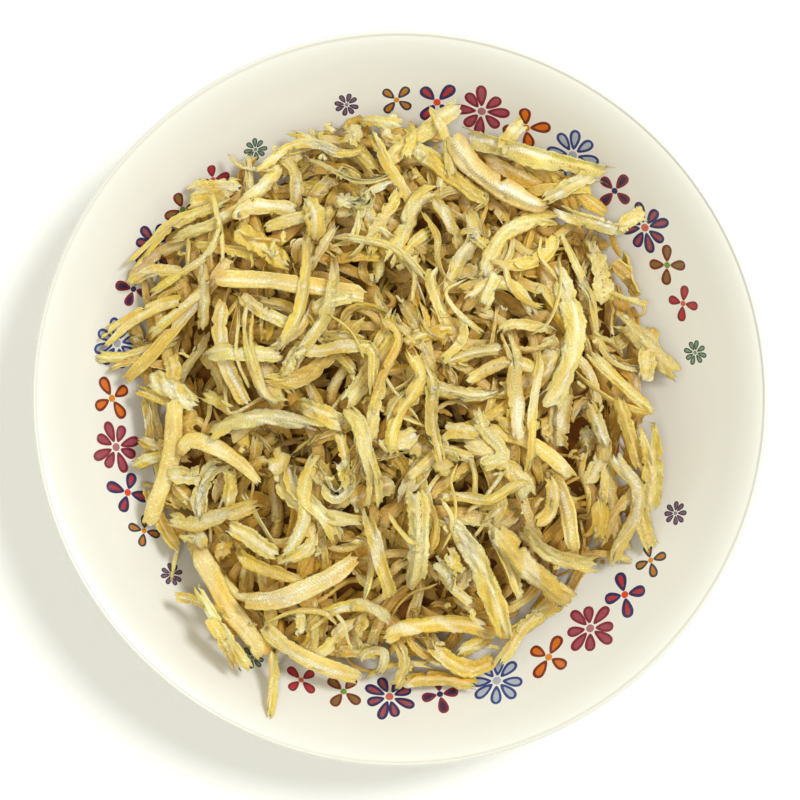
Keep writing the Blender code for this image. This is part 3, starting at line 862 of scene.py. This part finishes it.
def dome_height(x, y):
    """Height that the fish reach: from the top down to the edge by a power of the way out.

    The hollows are taken off, and the dish is the least.
    """
    heap = settings().heap
    edge_radius = outline_radius(np.arctan2(y, x))
    share = np.hypot(x, y) / edge_radius
    edge_height = dish_inside(edge_radius) + heap.edge
    dome = edge_height + (heap.top - edge_height) * (1 - share ** DOME_CURVE)
    dome = dome - hollow_depth(x, y)
    return np.maximum(dome, dish_inside(np.hypot(x, y)) + CLEARANCE)


class HeightMap:
    """Heights of what lies in the dish so far, on a square grid of cells."""

    def __init__(self):
        line = np.linspace(-MAP_HALF, MAP_HALF, MAP_CELLS)
        x, y = np.meshgrid(line, line)
        floor = dish_inside(np.hypot(x, y)) + CLEARANCE
        self.heights = np.maximum(floor, dome_height(x, y) - settings().heap.core_depth)

    def cells(self, x, y):
        """Row and column of the cells that hold the points."""
        column = np.clip(np.rint((x + MAP_HALF) / CELL).astype(int), 0, MAP_CELLS - 1)
        row = np.clip(np.rint((y + MAP_HALF) / CELL).astype(int), 0, MAP_CELLS - 1)
        return row, column

    def read(self, x, y):
        """Heights under the points."""
        return self.heights[self.cells(x, y)]

    def raise_to(self, x, y, height):
        """Lift the cells under the points to at least the heights given."""
        np.maximum.at(self.heights, self.cells(x, y), height)

    def smoothed(self, reach):
        """The map with each height the mean of those up to a reach in cells away."""
        smooth = HeightMap()
        total = np.pad(self.heights, reach, mode="edge")
        for axis in (0, 1):
            moved = [np.roll(total, step, axis) for step in range(-reach, reach + 1)]
            total = np.mean(moved, axis=0)
        smooth.heights = total[reach:-reach, reach:-reach]
        return smooth


def ease(values, low, high):
    """Zero below low, one above high, and between them the cubic that is level at both."""
    share = np.clip((values - low) / (high - low), 0, 1)
    return share * share * (3 - 2 * share)


def bump_at(values, middle, width):
    """A bell: e to the minus square of the distance from the middle over the width."""
    return np.exp(-((values - middle) / width) ** 2)


def smooth_noise(rng, share, waves):
    """A value that wanders between about -1 and 1: four sines, their pitch and phase by chance."""
    pitch = rng.uniform(0.4, waves, 4)
    phase = rng.uniform(0, TURN, 4)
    return sum(np.sin(TURN * pitch[one] * share + phase[one]) for one in range(4)) * 0.36


def line_through(points, share):
    """Plan of a listed fish: the parabola through its tail, middle and head."""
    tail, middle, head = np.array(points).reshape(3, 2)
    share = share[:, None]
    return (tail * (1 - share) * (1 - 2 * share) + middle * 4 * share * (1 - share)
            + head * share * (2 * share - 1)) * MM


def line_drawn(rng, kind, share, spot):
    """Plan of a fish by rule: its heading turns evenly, sways and kinks, and the line sums it."""
    bend = rng.normal() * kind.bend
    if kind.bend > 1:
        bend = rng.choice([-1, 1]) * kind.bend * rng.uniform(0.5, 1.4)
    kink = rng.normal() * kind.kink * np.tanh((share - rng.uniform(0.15, 0.85)) / KINK_RUN)
    sway = rng.normal() * SWAY * np.sin(TURN * share + rng.uniform(0, TURN))
    heading = rng.uniform(0, TURN) + bend * (share - 0.5) + kink + sway
    length = rng.uniform(*kind.length) * MM
    step = np.stack([np.cos(heading), np.sin(heading)], axis=1) * length / (len(share) - 1)
    line = np.cumsum(step, axis=0)
    return line - line.mean(axis=0) + spot


def unit(vectors):
    """The vectors, each made one long."""
    return vectors / np.linalg.norm(vectors, axis=-1, keepdims=True)


def rest_line(ground, share, steepest):
    """The lowest straight line that clears the ground and lies on a high point each side."""
    picks = np.linspace(0, len(share) - 1, REST_STEPS).astype(int)
    left, right = np.meshgrid(picks[:REST_STEPS // 2], picks[REST_STEPS // 2:])
    left, right = left.ravel(), right.ravel()
    slope = (ground[right] - ground[left]) / (share[right] - share[left])
    slope = np.clip(slope, -steepest, steepest)
    lines = ground[left][:, None] + slope[:, None] * (share[None, :] - share[left][:, None])
    lines += (ground[None, :] - lines).max(axis=1)[:, None]
    return lines[np.argmin(lines[:, len(share) // 2])]


class Fish:
    """One fish: its kind, tone, line in space, width, thickness and its own seed."""

    def __init__(self, kind, tone, plan, width, seed, by_hand):
        self.kind = kind
        self.tone = tone
        self.plan = plan
        self.width = width
        self.seed = seed
        self.by_hand = by_hand
        self.share = np.linspace(0, 1, len(plan))
        self.length = np.linalg.norm(np.diff(plan, axis=0), axis=1).sum()
        self.thick = max(width * KINDS[kind].thick, THINNEST)
        self.arch = np.random.default_rng(seed).normal() * KINDS[kind].arch * self.length
        along = unit(np.gradient(plan, axis=0))
        across = np.stack([-along[:, 1], along[:, 0]], axis=1)
        self.spots = plan[:, None, :] + across[:, None, :] * (SPOTS_ACROSS * width)[None, :, None]
        self.heights = None

    def rest(self, height_map, sink):
        """Rest the fish on the heap: arched to suit the ground, then lowered to touch it.

        The arch is a share of the parabola nearest the ground, plus the fish's own.
        """
        ground = height_map.read(self.spots[..., 0], self.spots[..., 1]).max(axis=1)
        bow = 4 * self.share * (1 - self.share)
        over = ground - ground[0] - (ground[-1] - ground[0]) * self.share
        fitted = ARCH_TAKEN * (over * bow).sum() / (bow * bow).sum()
        most = MOST_ARCH * self.length
        bow = bow * float(np.clip(fitted + self.arch, -most, most))
        line = rest_line(ground - bow, self.share, STEEPEST * self.length)
        self.heights = line + bow + self.thick / 2 - sink

    def detail(self, height_map):
        """Points across the back and spacing along: finer the more of the fish is in sight."""
        surface = height_map.read(self.plan[:, 0], self.plan[:, 1])
        seen = float(np.mean(surface - self.heights - self.thick / 2 < NEAR_TOP))
        for most, above, spacing in COARSE_DETAIL:
            if seen < most:
                return above, spacing
        above = KINDS[self.kind].above
        return (above + 2, HAND_SPACING) if self.by_hand else (above, RULE_SPACING)

    def cover(self, height_map):
        """Lift the height map by the fish's rounded back."""
        tops = self.heights[:, None] + self.thick / 2 * BACK_ROUND[None, :]
        height_map.raise_to(self.spots[..., 0], self.spots[..., 1], tops)


def draw_fish(rng, share, names, weights):
    """A fish of a random kind and tone anywhere within the outline."""
    kind = rng.choice(names, p=weights)
    bearing = rng.uniform(0, TURN)
    reach = float(outline_radius(np.array(bearing))) - MIDDLE_ROOM
    radius = reach * math.sqrt(rng.random())
    spot = np.array([radius * math.cos(bearing), radius * math.sin(bearing)])
    line = line_drawn(rng, KINDS[kind], share, spot)
    width = rng.uniform(*KINDS[kind].width) * MM
    tone = rng.choice(list(TONES), p=TONE_SHARES)
    return Fish(kind, tone, line, width, int(rng.integers(1 << 30)), False)


def wanted_here(height_map, fish, room):
    """How thin the cover is, less what the fish would stand above the dome or reach past it."""
    x, y = fish.plan[::4, 0], fish.plan[::4, 1]
    dome = dome_height(x, y)
    thin = dome - height_map.read(x, y)
    fish.rest(height_map, 0.0)
    above = fish.heights[::4] + fish.thick / 2 - dome - room
    past = np.hypot(x, y) - outline_radius(np.arctan2(y, x)) - ENDS_ROOM
    return float(thin.mean() - PAST_COST * (max(above.max(), 0.0) + max(past.max(), 0.0)))


def lay_by_rule(height_map, rng, count, tries, room, names):
    """Fish laid one by one, each the best of a few draws at filling the dome."""
    share = np.linspace(0, 1, LINE_POINTS)
    weights = np.array([KINDS[name].share for name in names])
    weights = weights / weights.sum()
    laid = []
    for _ in range(count):
        drawn = [draw_fish(rng, share, names, weights) for _ in range(tries)]
        fish = max(drawn, key=lambda one: wanted_here(height_map, one, room))
        fish.rest(height_map, RULE_SINK)
        fish.cover(height_map)
        laid.append(fish)
    return laid


def laid_heap():
    """Every fish where it lies, the height map of the finished heap, and a smoothed one."""
    heap = settings().heap
    rng = np.random.default_rng(heap.seed)
    height_map = HeightMap()
    share = np.linspace(0, 1, LINE_POINTS)
    laid = lay_by_rule(height_map, rng, heap.under_fish, BELOW_TRIES, BELOW_ROOM, list(KINDS))
    for *points, width, kind, tone in LAID_FISH:
        line = line_through(points, share)
        fish = Fish(kind, tone, line, width * MM, int(rng.integers(1 << 30)), True)
        fish.rest(height_map, HAND_SINK)
        fish.cover(height_map)
        laid.append(fish)
    laid += lay_by_rule(height_map, rng, heap.top_fish, BETWEEN_TRIES, BETWEEN_ROOM,
                        BETWEEN_KINDS)
    laid += lay_by_rule(height_map, rng, heap.crumbs, CRUMB_TRIES, CRUMB_ROOM, ["crumb"])
    return laid, height_map, height_map.smoothed(SMOOTH_CELLS)


# Heap: the surface of each fish

# A fish is in sight where the heap's top is no further above it than this
NEAR_TOP = 0.5 * MM
# Share in sight below which a fish is coarse, points across its back and spacing along
COARSE_DETAIL = ((0.04, 5, 2.4 * MM), (0.22, 7, 1.0 * MM))
RULE_SPACING, HAND_SPACING = 0.55 * MM, 0.42 * MM
LEAST_STEPS = 8
MOST_QUADS = 90000
# Places across and along a fish at which its fray and its flanks are drawn
FRAY_KNOTS = 10
FLANK_POINTS = 140
# Thickness at the very ends, as a share, and the run over which it is gained
END_THICK, END_RUN = 0.3, 0.1
# Furrows: half waves across the back, and depth as a share of the width
FURROWS = ((2, 0.03), (3.3, 0.028), (5.5, 0.018))
# Furthest that the fibres' pattern is shifted along a fish, in millimetres
PATTERN_SHIFT = 400

# Least and most strength of each colour laid over a fish's tone
BRIGHTNESS = (0.83, 1.01)
GOLD_PATCHES = (0.2, 0.9)
CREAM_PATCHES = (0.1, 0.7)
# Flank gold is painted shade, ridge cream a painted highlight, and pale edges painted light
# through thin edges
FLANK_SHADE = (0.05, 0.4)
RIDGE_HIGHLIGHT = (0.1, 1.0)
EDGE_GLOW_AND_CUT = (0.1, 0.8)
SILVER_SHINE = (0.5, 1.0)
MUSCLE_TICKS = (0.4, 1.0)
# Chances that a fish's edges are amber, and that it has a dark thread
AMBER_EDGES = 0.22
DARK_THREAD = 0.16
# Painted shade between the fish: how far under the heap's top a fish starts to turn to the
# deep colour and how far it is done, and how much of that colour it then has
DEEP_SHADE_FROM, DEEP_SHADE_TO, DEEP_SHADE_SHARE = -0.8 * MM, 4.6 * MM, 0.7
# Painted shade: what red, green and blue lose at the bottom of a hollow, and at the side away from
# the light
PIT_DEPTH, PIT_SHADE = 8 * MM, np.array((0.26, 0.33, 0.48))
SIDE_FROM, SIDE_TO, SIDE_LOSS = 20 * MM, 80 * MM, np.array((0.12, 0.15, 0.22))
# Drifts of tone over the heap, in millimetres and radians: strength, width in x, swing and
# its width and phase in y, then width and phase in y
DRIFTS = ((0.09, 2.9, 1.3, 4.6, 0.0, 3.3, 0.8), (0.1, 6.5, 1.1, 9.0, 0.5, 7.5, -0.9))


def mix(first, second, share):
    """Colours between two, point by point."""
    return first + (second - first) * share[..., None]


def run_along(rng, share, shortest, longest):
    """One over a stretch of the fish placed by chance, and zero elsewhere."""
    start = rng.uniform(0.0, 0.6)
    stop = start + rng.uniform(shortest, longest)
    return ease(share, start, start + 0.06) * (1 - ease(share, stop, stop + 0.06))


def flesh_colours():
    """The flesh's colours by name, as arrays."""
    flesh = settings().flesh
    return {name: np.array(getattr(flesh, name))
            for name in ("pale", "cream", "gold", "amber", "grey", "silver", "dark")}


def fish_tone(fish, rng, share, across, upper, palette):
    """A fish's colour at each point, with painted light and shade, and the noise that it wanders
    with.

    Golden and cream patches come and go along it under faint streaks. Gold
    is painted shade on the flanks and cream a painted highlight over the
    backbone; most edges are paler with painted light passing through them,
    the rest amber where cut, and the ends dry to amber.
    """
    first, second, blend = TONES[fish.tone][:3]
    base = palette[first] + (palette[second] - palette[first]) * blend
    colour = base * rng.uniform(*BRIGHTNESS) * (1 + rng.normal(0, 0.01, 3)) + 0 * share[..., None]
    wander = smooth_noise(rng, share + 0.1 * across, 3)
    colour = mix(colour, palette["gold"], rng.uniform(*GOLD_PATCHES) * ease(wander, -0.1, 0.8))
    colour = mix(colour, palette["cream"], rng.uniform(*CREAM_PATCHES) * ease(-wander, 0.0, 0.8))
    streak = smooth_noise(rng, 0.9 * share + 1.5 * across, 2)
    colour = colour * (1 + 0.05 * streak[..., None])
    # Painted shade: gold on the upper face's flanks
    flank = bump_at(np.abs(across), 0.6, 0.25) * upper * rng.uniform(*FLANK_SHADE)
    colour = mix(colour, palette["gold"], flank)
    # Painted highlight: cream along the ridge over the backbone
    ridge = bump_at(across, rng.normal(0, 0.2), 0.2) * upper * rng.uniform(*RIDGE_HIGHLIGHT)
    colour = mix(colour, palette["cream"], ridge * ease(wander, -0.8, 0.2))
    # Pale edges are painted light passing through thin flesh; amber edges are the cut edges' own
    # colour
    edge = ease(np.abs(across), 0.7, 0.95) * rng.uniform(*EDGE_GLOW_AND_CUT)
    colour = mix(colour, palette["amber" if rng.random() < AMBER_EDGES else "pale"], edge)
    ends = ease(share, 0.84, 1.0) * rng.random() + ease(1 - share, 0.86, 1.0) * rng.random()
    return mix(colour, palette["amber"], 0.8 * np.clip(ends - 0.2, 0, 1)), wander


def fish_colours(fish, rng, share, across, upper):
    """Colour of each point of a fish, and its marks: muscle segments, dark dots and silver.

    A silver stripe, a dark thread and an eye are laid over the fish's own
    tone, each as a bump across it times a stretch along it.
    """
    palette = flesh_colours()
    ticks, dots, silver = TONES[fish.tone][3:]
    colour, wander = fish_tone(fish, rng, share, across, upper, palette)
    shine = np.zeros_like(share)
    if rng.random() < silver:
        shine = bump_at(across, rng.uniform(-0.4, 0.4), rng.uniform(0.14, 0.34))
        shine = shine * upper * run_along(rng, share, 0.15, 0.7) * rng.uniform(*SILVER_SHINE)
    colour = mix(colour, palette["silver"], shine)
    if rng.random() < DARK_THREAD:
        thread = bump_at(across, rng.uniform(-0.5, 0.5), 0.1) * run_along(rng, share, 0.05, 0.2)
        colour = mix(colour, palette["dark"], 0.85 * thread * upper)
    backbone = bump_at(across, rng.normal(0, 0.15), 0.22)
    if fish.by_hand and fish.kind == "back" and fish.tone == "silver":
        eye = bump_at(share, 0.06, 0.025) * bump_at(across, 0.1, 0.3) * upper
        colour = mix(colour, palette["dark"], 0.95 * eye)
    across_ticks = 0.25 * ease(wander, -0.7, 0.3) + backbone
    tick = ticks * rng.uniform(*MUSCLE_TICKS) * upper * across_ticks
    dot = np.zeros_like(share)
    if rng.random() < dots:
        dot = bump_at(across, rng.uniform(-0.2, 0.2), 0.16) * run_along(rng, share, 0.3, 0.8)
    return colour, np.stack([tick, dot * upper, shine], axis=-1)


def shaded_in_heap(colour, fish, points, smooth_map):
    """A fish's colours where it lies, with painted shade: the deep colour down between fish,
    darker in hollows and away from light.

    They drift over the heap by sines in x, swung by one in y, times one in y.
    """
    x, y = points[..., 0], points[..., 1]
    # Painted shade: the further under the smoothed top, the more of the deep colour
    deep = ease(smooth_map.read(x, y) - points[..., 2], DEEP_SHADE_FROM, DEEP_SHADE_TO)
    colour = mix(colour, np.array(settings().flesh.deep), DEEP_SHADE_SHARE * deep)
    drift = sum(strength * np.sin(x / MM / wide + swing * np.sin(y / MM / long + lag))
                * np.sin(y / MM / tall + phase)
                for strength, wide, swing, long, lag, tall, phase in DRIFTS)
    colour = colour * (1 + drift[..., None])
    # Painted shade in the hollows
    if not fish.by_hand:
        pit_shade = np.clip(hollow_depth(x, y) / PIT_DEPTH, 0, 1)
        colour = colour * (1 - pit_shade[..., None] * PIT_SHADE)
    side = ease(x - 0.4 * y, SIDE_FROM, SIDE_TO)
    return colour * (1 - side[..., None] * SIDE_LOSS)


def side_width(rng, kind, share):
    """Half width along one flank, as a share: bare ends, a swelling, ragged teeth and bites."""
    tail, head = rng.uniform(*kind.bare, 2)
    head = kind.flare or head
    tail_run, head_run = rng.uniform(0.03, 0.3, 2)
    width = tail + (1 - tail) * ease(share, 0, tail_run)
    width = width * (head + (1 - head) * ease(1 - share, 0, head_run))
    width = width * (1 + 0.15 * smooth_noise(rng, share, 3))
    teeth = smooth_noise(rng, share, 14) * 0.5 + rng.normal(0, 0.4, len(share))
    width = width * (1 + kind.rag * teeth)
    for _ in range(rng.poisson(kind.rag * 12)):
        width = width * (1 - rng.uniform(0.15, 0.6) * bump_at(share, rng.random(), 0.02))
    return np.clip(width, 0.12, 1.5)


def fibre_span(rng, kind, across):
    """Where each fibre starts and ends along the fish: frayed, and perhaps forked by a cleft."""
    knots = np.linspace(-1, 1, FRAY_KNOTS)
    start = np.interp(across, knots, kind.fray * rng.random(FRAY_KNOTS) ** 1.5)
    stop = 1 - np.interp(across, knots, kind.fray * rng.random(FRAY_KNOTS) ** 1.5)
    if rng.random() < kind.fork:
        cleft = np.clip(1 - np.abs(across - rng.normal(0, 0.15)) / rng.uniform(0.25, 0.5), 0, 1)
        start = start + rng.uniform(0.06, 0.4) * cleft
    return start, stop


def section_frames(rng, fish, share):
    """Middle, sideways and upward direction of the section at each share of the line.

    The section lies square to the line and level, then rolls by one angle
    and twists evenly by another.
    """
    kind = KINDS[fish.kind]
    line = np.column_stack([fish.plan, fish.heights])
    tangent = unit(np.gradient(line, axis=0))
    flat = unit(np.stack([-tangent[:, 1], tangent[:, 0], 0 * tangent[:, 0]], axis=1))
    normal = np.cross(tangent, flat)
    roll = rng.normal() * kind.roll + kind.twist * rng.normal() * (fish.share - 0.5)
    cosine, sine = np.cos(roll)[:, None], np.sin(roll)[:, None]
    flat, normal = flat * cosine + normal * sine, normal * cosine - flat * sine
    return [np.stack([np.interp(share, fish.share, part) for part in values.T], axis=-1)
            for values in (line, flat, normal)]


def section_rise(rng, fish, share, across, upper, fade):
    """Height of each point over the middle of its section.

    Half a flattened ellipse above and below; on the back a ridge over the
    backbone between two dips, and furrows as cosines across; and the whole
    sheet cupped as a parabola and crumpled by noise.
    """
    kind = KINDS[fish.kind]
    thick = fish.thick * fade * (1 + 0.15 * smooth_noise(rng, share, 5))
    body = np.sqrt(np.clip(1 - np.abs(across) ** 3.2, 0, 1))
    drift = smooth_noise(rng, share, 2.5)
    ridge = kind.ridge * rng.uniform(0.3, 1.5)
    dips = 0.6 * bump_at(np.abs(across), 0.45, 0.2)
    relief = ridge * (bump_at(across, 0.06 * drift, 0.22) - dips)
    for half_waves, depth in FURROWS:
        phase = rng.uniform(0, TURN) + drift * rng.normal()
        furrow = np.cos(half_waves * math.pi * across + phase)
        relief = relief + depth * rng.uniform(0.3, 1.5) * furrow
    sheet = kind.cup * rng.normal(0.35, 0.8) * (across ** 2 - 0.3)
    sheet = sheet + kind.crumple * 0.5 * smooth_noise(rng, share * 1.5 + across * 0.25, 4)
    sheet = sheet + kind.crumple * 0.3 * smooth_noise(rng, share * 2 - across * 0.4, 6)
    return (2 * upper - 1) * thick / 2 * body + fish.width * (upper * fade * relief + sheet)


def skin_faces(steps, loop, above):
    """Faces of a fish's skin: its rings joined, and each end closed across."""
    column = np.arange(1, above - 2)
    cap = np.stack([column, column + 1, loop - column - 1, loop - column], axis=1)
    tips = np.array([(0, 1, loop - 1), (above - 2, above - 1, above)])
    last = (steps - 1) * loop
    quads = np.concatenate([ring_quads(steps, loop), cap, cap[:, ::-1] + last])
    return quads, np.concatenate([tips, tips[:, ::-1] + last])


def fish_surface(fish, height_map, smooth_map):
    """The closed skin of one fish, as arrays.

    The fish's line carries a flat section round which the points lie at
    cosines of even angles. Each fibre along the fish starts and ends at its
    own place, so that the ends are torn and forked, and nothing sinks into
    the dish.
    """
    kind = KINDS[fish.kind]
    rng = np.random.default_rng(fish.seed + 1)
    above, spacing = fish.detail(height_map)
    steps = max(int(fish.length / spacing), LEAST_STEPS)
    top = -np.cos(np.linspace(0, math.pi, above))
    across = np.concatenate([top, top[-2:0:-1]])[None, :] + np.zeros((steps, 1))
    loop = across.shape[1]
    upper = (np.arange(loop) < above)[None, :] + np.zeros((steps, 1))
    start, stop = fibre_span(rng, kind, across)
    share = start + np.linspace(0, 1, steps)[:, None] * (stop - start)
    line, flat, normal = section_frames(rng, fish, share)

    dense = np.linspace(0, 1, FLANK_POINTS)
    left = np.interp(share, dense, side_width(rng, kind, dense))
    right = np.interp(share, dense, side_width(rng, kind, dense))
    wide = across * np.where(across < 0, left, right) * fish.width / 2
    near_end = np.minimum(share - start, stop - share)
    fade = END_THICK + (1 - END_THICK) * ease(near_end, 0.0, END_RUN)
    rise = section_rise(rng, fish, share, across, upper, fade)
    points = line + flat * wide[..., None] + normal * rise[..., None]
    floor = dish_inside(np.hypot(points[..., 0], points[..., 1])) + CLEARANCE
    points[..., 2] = np.maximum(points[..., 2], floor)

    colour, marks = fish_colours(fish, rng, share, across, upper)
    colour = shaded_in_heap(colour, fish, points, smooth_map)
    along = share * fish.length / MM + rng.uniform(0, PATTERN_SHIFT)
    uv = np.stack([wide / MM, along], axis=-1)
    quads, triangles = skin_faces(steps, loop, above)
    return {"points": points.reshape(-1, 3), "uv": uv.reshape(-1, 2), "quads": quads,
            "triangles": triangles, "flesh": colour.reshape(-1, 3),
            "marks": marks.reshape(-1, 3)}


def build_fish(name, skins, material):
    """Pieces from the skins of fish: as few as stay light, with the fish shared out."""
    faces = sum(len(skin["quads"]) for skin in skins)
    pieces = 1 + faces // MOST_QUADS
    for number in range(pieces):
        arrays = join_arrays(skins[number::pieces])
        piece = make_piece(f"{name}_{number + 1}", arrays["points"], arrays["quads"],
                           arrays["triangles"], arrays["uv"],
                           {key: np.clip(arrays[key], 0, 1) for key in ("flesh", "marks")})
        piece.data.materials.append(material)
        settle(piece, "anchovy_heap")


class ANCHOVY_OT_fish(Operator):
    """Lay the fish of every kind"""

    bl_idname = "anchovy.fish"
    bl_label = "Fish"

    def execute(self, context):
        flesh = flesh_material()
        laid, *maps = laid_heap()
        for kind in KINDS:
            skins = [fish_surface(fish, *maps) for fish in laid if fish.kind == kind]
            build_fish(f"anchovy_{kind}", skins, flesh)
        return {"FINISHED"}


# Core: its reach as a share of the outline, its rings, the height of its lumps and their
# waves to the metre, its least thickness, and what its seed is past the heap's
CORE_REACH = 0.85
CORE_RINGS, CORE_AROUND = 40, 120
LUMP_HEIGHT, LUMP_WAVES = 1.2 * MM, 60
CORE_LEAST = 0.8 * MM
CORE_SEED = 5


class ANCHOVY_OT_core(Operator):
    """Fill the inside of the heap with a core, dark with painted shade"""

    bl_idname = "anchovy.core"
    bl_label = "Core of the Heap"

    def execute(self, context):
        # Rings out to the reach, on the dome less its depth above and on the dish below
        heap = settings().heap
        bearing = np.arange(CORE_AROUND) * TURN / CORE_AROUND
        reach = np.sin(np.linspace(0.002, 1, CORE_RINGS) * math.pi / 2)[:, None]
        radius = reach * outline_radius(bearing)[None, :] * CORE_REACH
        x, y = radius * np.cos(bearing), radius * np.sin(bearing)
        floor = dish_inside(radius) + CLEARANCE
        rng = np.random.default_rng(heap.seed + CORE_SEED)
        lumps = smooth_noise(rng, x * LUMP_WAVES, 4) * smooth_noise(rng, y * LUMP_WAVES, 4)
        core = dome_height(x, y) - heap.core_depth + LUMP_HEIGHT * lumps
        top = np.maximum(core, floor + CORE_LEAST)
        rings = np.concatenate([np.stack([x, y, top], axis=-1),
                                np.stack([x, y, floor], axis=-1)[::-1]])
        piece = make_piece("heap_core", *capped_rings(rings, (0, 0, top[0].mean()),
                                                      (0, 0, floor[0].mean())))
        piece.data.materials.append(core_material())
        settle(piece, "anchovy_heap")
        return {"FINISHED"}


# Stage

# Lights: place and width in metres, power in watts, and colour. Both aim at the heap's middle
LIGHTS = {
    "key_light": ((0.61, 0.4, 1.18), 0.35, 10.4, "#FCFCFF"),
    "top_light": ((-0.15, -0.1, 1.3), 0.3, 3.2, "#FFFFFF"),
}
LIGHTS_AIM = (0.0, 0.0, 0.03)
STUDIO_COLOUR, STUDIO_STRENGTH = "#F6F5E2", 0.62
FLOOR_HALF = 1.5
SENSOR_WIDTH = 36.0
# The dish lies this far above the middle of the picture
ABOVE_MIDDLE = 0.4 * MM


class ANCHOVY_OT_stage(Operator):
    """Set the floor, the lights and the camera"""

    bl_idname = "anchovy.stage"
    bl_label = "Stage"

    def execute(self, context):
        stage = settings().stage
        self.make_floor(stage)
        self.make_camera(stage)
        for name, light in LIGHTS.items():
            self.make_light(name, *light)
        world = bpy.data.worlds.new("studio")
        bpy.context.scene.world = world
        world.use_nodes = True
        wire(world.node_tree.nodes["Background"],
             {"Color": opaque(hex_colour(STUDIO_COLOUR)), "Strength": STUDIO_STRENGTH})
        bpy.context.scene.view_settings.view_transform = "Standard"
        return {"FINISHED"}

    def make_floor(self, stage):
        """A square of paper."""
        corners = [(-1, -1, 0), (1, -1, 0), (1, 1, 0), (-1, 1, 0)]
        floor = make_piece("floor", FLOOR_HALF * np.array(corners), np.array([(0, 1, 2, 3)]))
        floor.data.materials.append(floor_material(stage.floor))

    def make_camera(self, stage):
        """A camera that looks straight down, its lens worked out from the view's width."""
        camera = bpy.data.cameras.new("camera")
        thing = bpy.data.objects.new("camera", camera)
        bpy.context.scene.collection.objects.link(thing)
        distance = stage.camera_height - settings().dish.height
        camera.sensor_width = SENSOR_WIDTH
        camera.lens = camera.sensor_width * distance / stage.view_width
        thing.location = (0.0, -ABOVE_MIDDLE, stage.camera_height)
        bpy.context.scene.camera = thing

    def make_light(self, name, place, size, power, colour):
        """A round area light, turned to the heap: down from level, then to its bearing."""
        lamp = bpy.data.lights.new(name, "AREA")
        lamp.shape = "DISK"
        lamp.size = size
        lamp.energy = power
        lamp.color = hex_colour(colour)
        thing = bpy.data.objects.new(name, lamp)
        bpy.context.scene.collection.objects.link(thing)
        thing.location = place
        aim = np.array(LIGHTS_AIM) - np.array(place)
        level = math.hypot(aim[0], aim[1])
        thing.rotation_euler = (math.atan2(level, -aim[2]), 0.0,
                                math.atan2(aim[1], aim[0]) - math.pi / 2)


class ANCHOVY_PT_panel(Panel):
    """Panel in the sidebar of the 3D view."""

    bl_idname = "ANCHOVY_PT_panel"
    bl_label = "Dish of Dried Anchovies"
    bl_space_type = "VIEW_3D"
    bl_region_type = "UI"
    bl_category = "Anchovies"

    def draw(self, context):
        for group in ("dish", "band", "heap", "flesh", "stage"):
            box = self.layout.box()
            values = getattr(settings(), group)
            for key in values.bl_rna.properties.keys():
                if key not in {"rna_type", "name"}:
                    box.prop(values, key)
        for operator in OPERATORS:
            self.layout.operator(operator.bl_idname)


OPERATORS = (ANCHOVY_OT_dish, ANCHOVY_OT_flower_band, ANCHOVY_OT_core, ANCHOVY_OT_fish,
             ANCHOVY_OT_stage)
CLASSES = (DishSettings, BandSettings, HeapSettings, FleshSettings, StageSettings,
           AnchovyDishSettings, *OPERATORS, ANCHOVY_PT_panel)


def register():
    """Register the classes and put the settings on the scene."""
    for one in CLASSES:
        bpy.utils.register_class(one)
    bpy.types.Scene.anchovy_dish = PointerProperty(type=AnchovyDishSettings)


def unregister():
    """Take the settings and the classes away again."""
    del bpy.types.Scene.anchovy_dish
    for one in reversed(CLASSES):
        bpy.utils.unregister_class(one)


def main():
    """Build the dish, its flowers, the heap and the stage."""
    register()
    for one in OPERATORS:
        module, name = one.bl_idname.split(".")
        getattr(getattr(bpy.ops, module), name)()


if __name__ == "__main__":
    main()
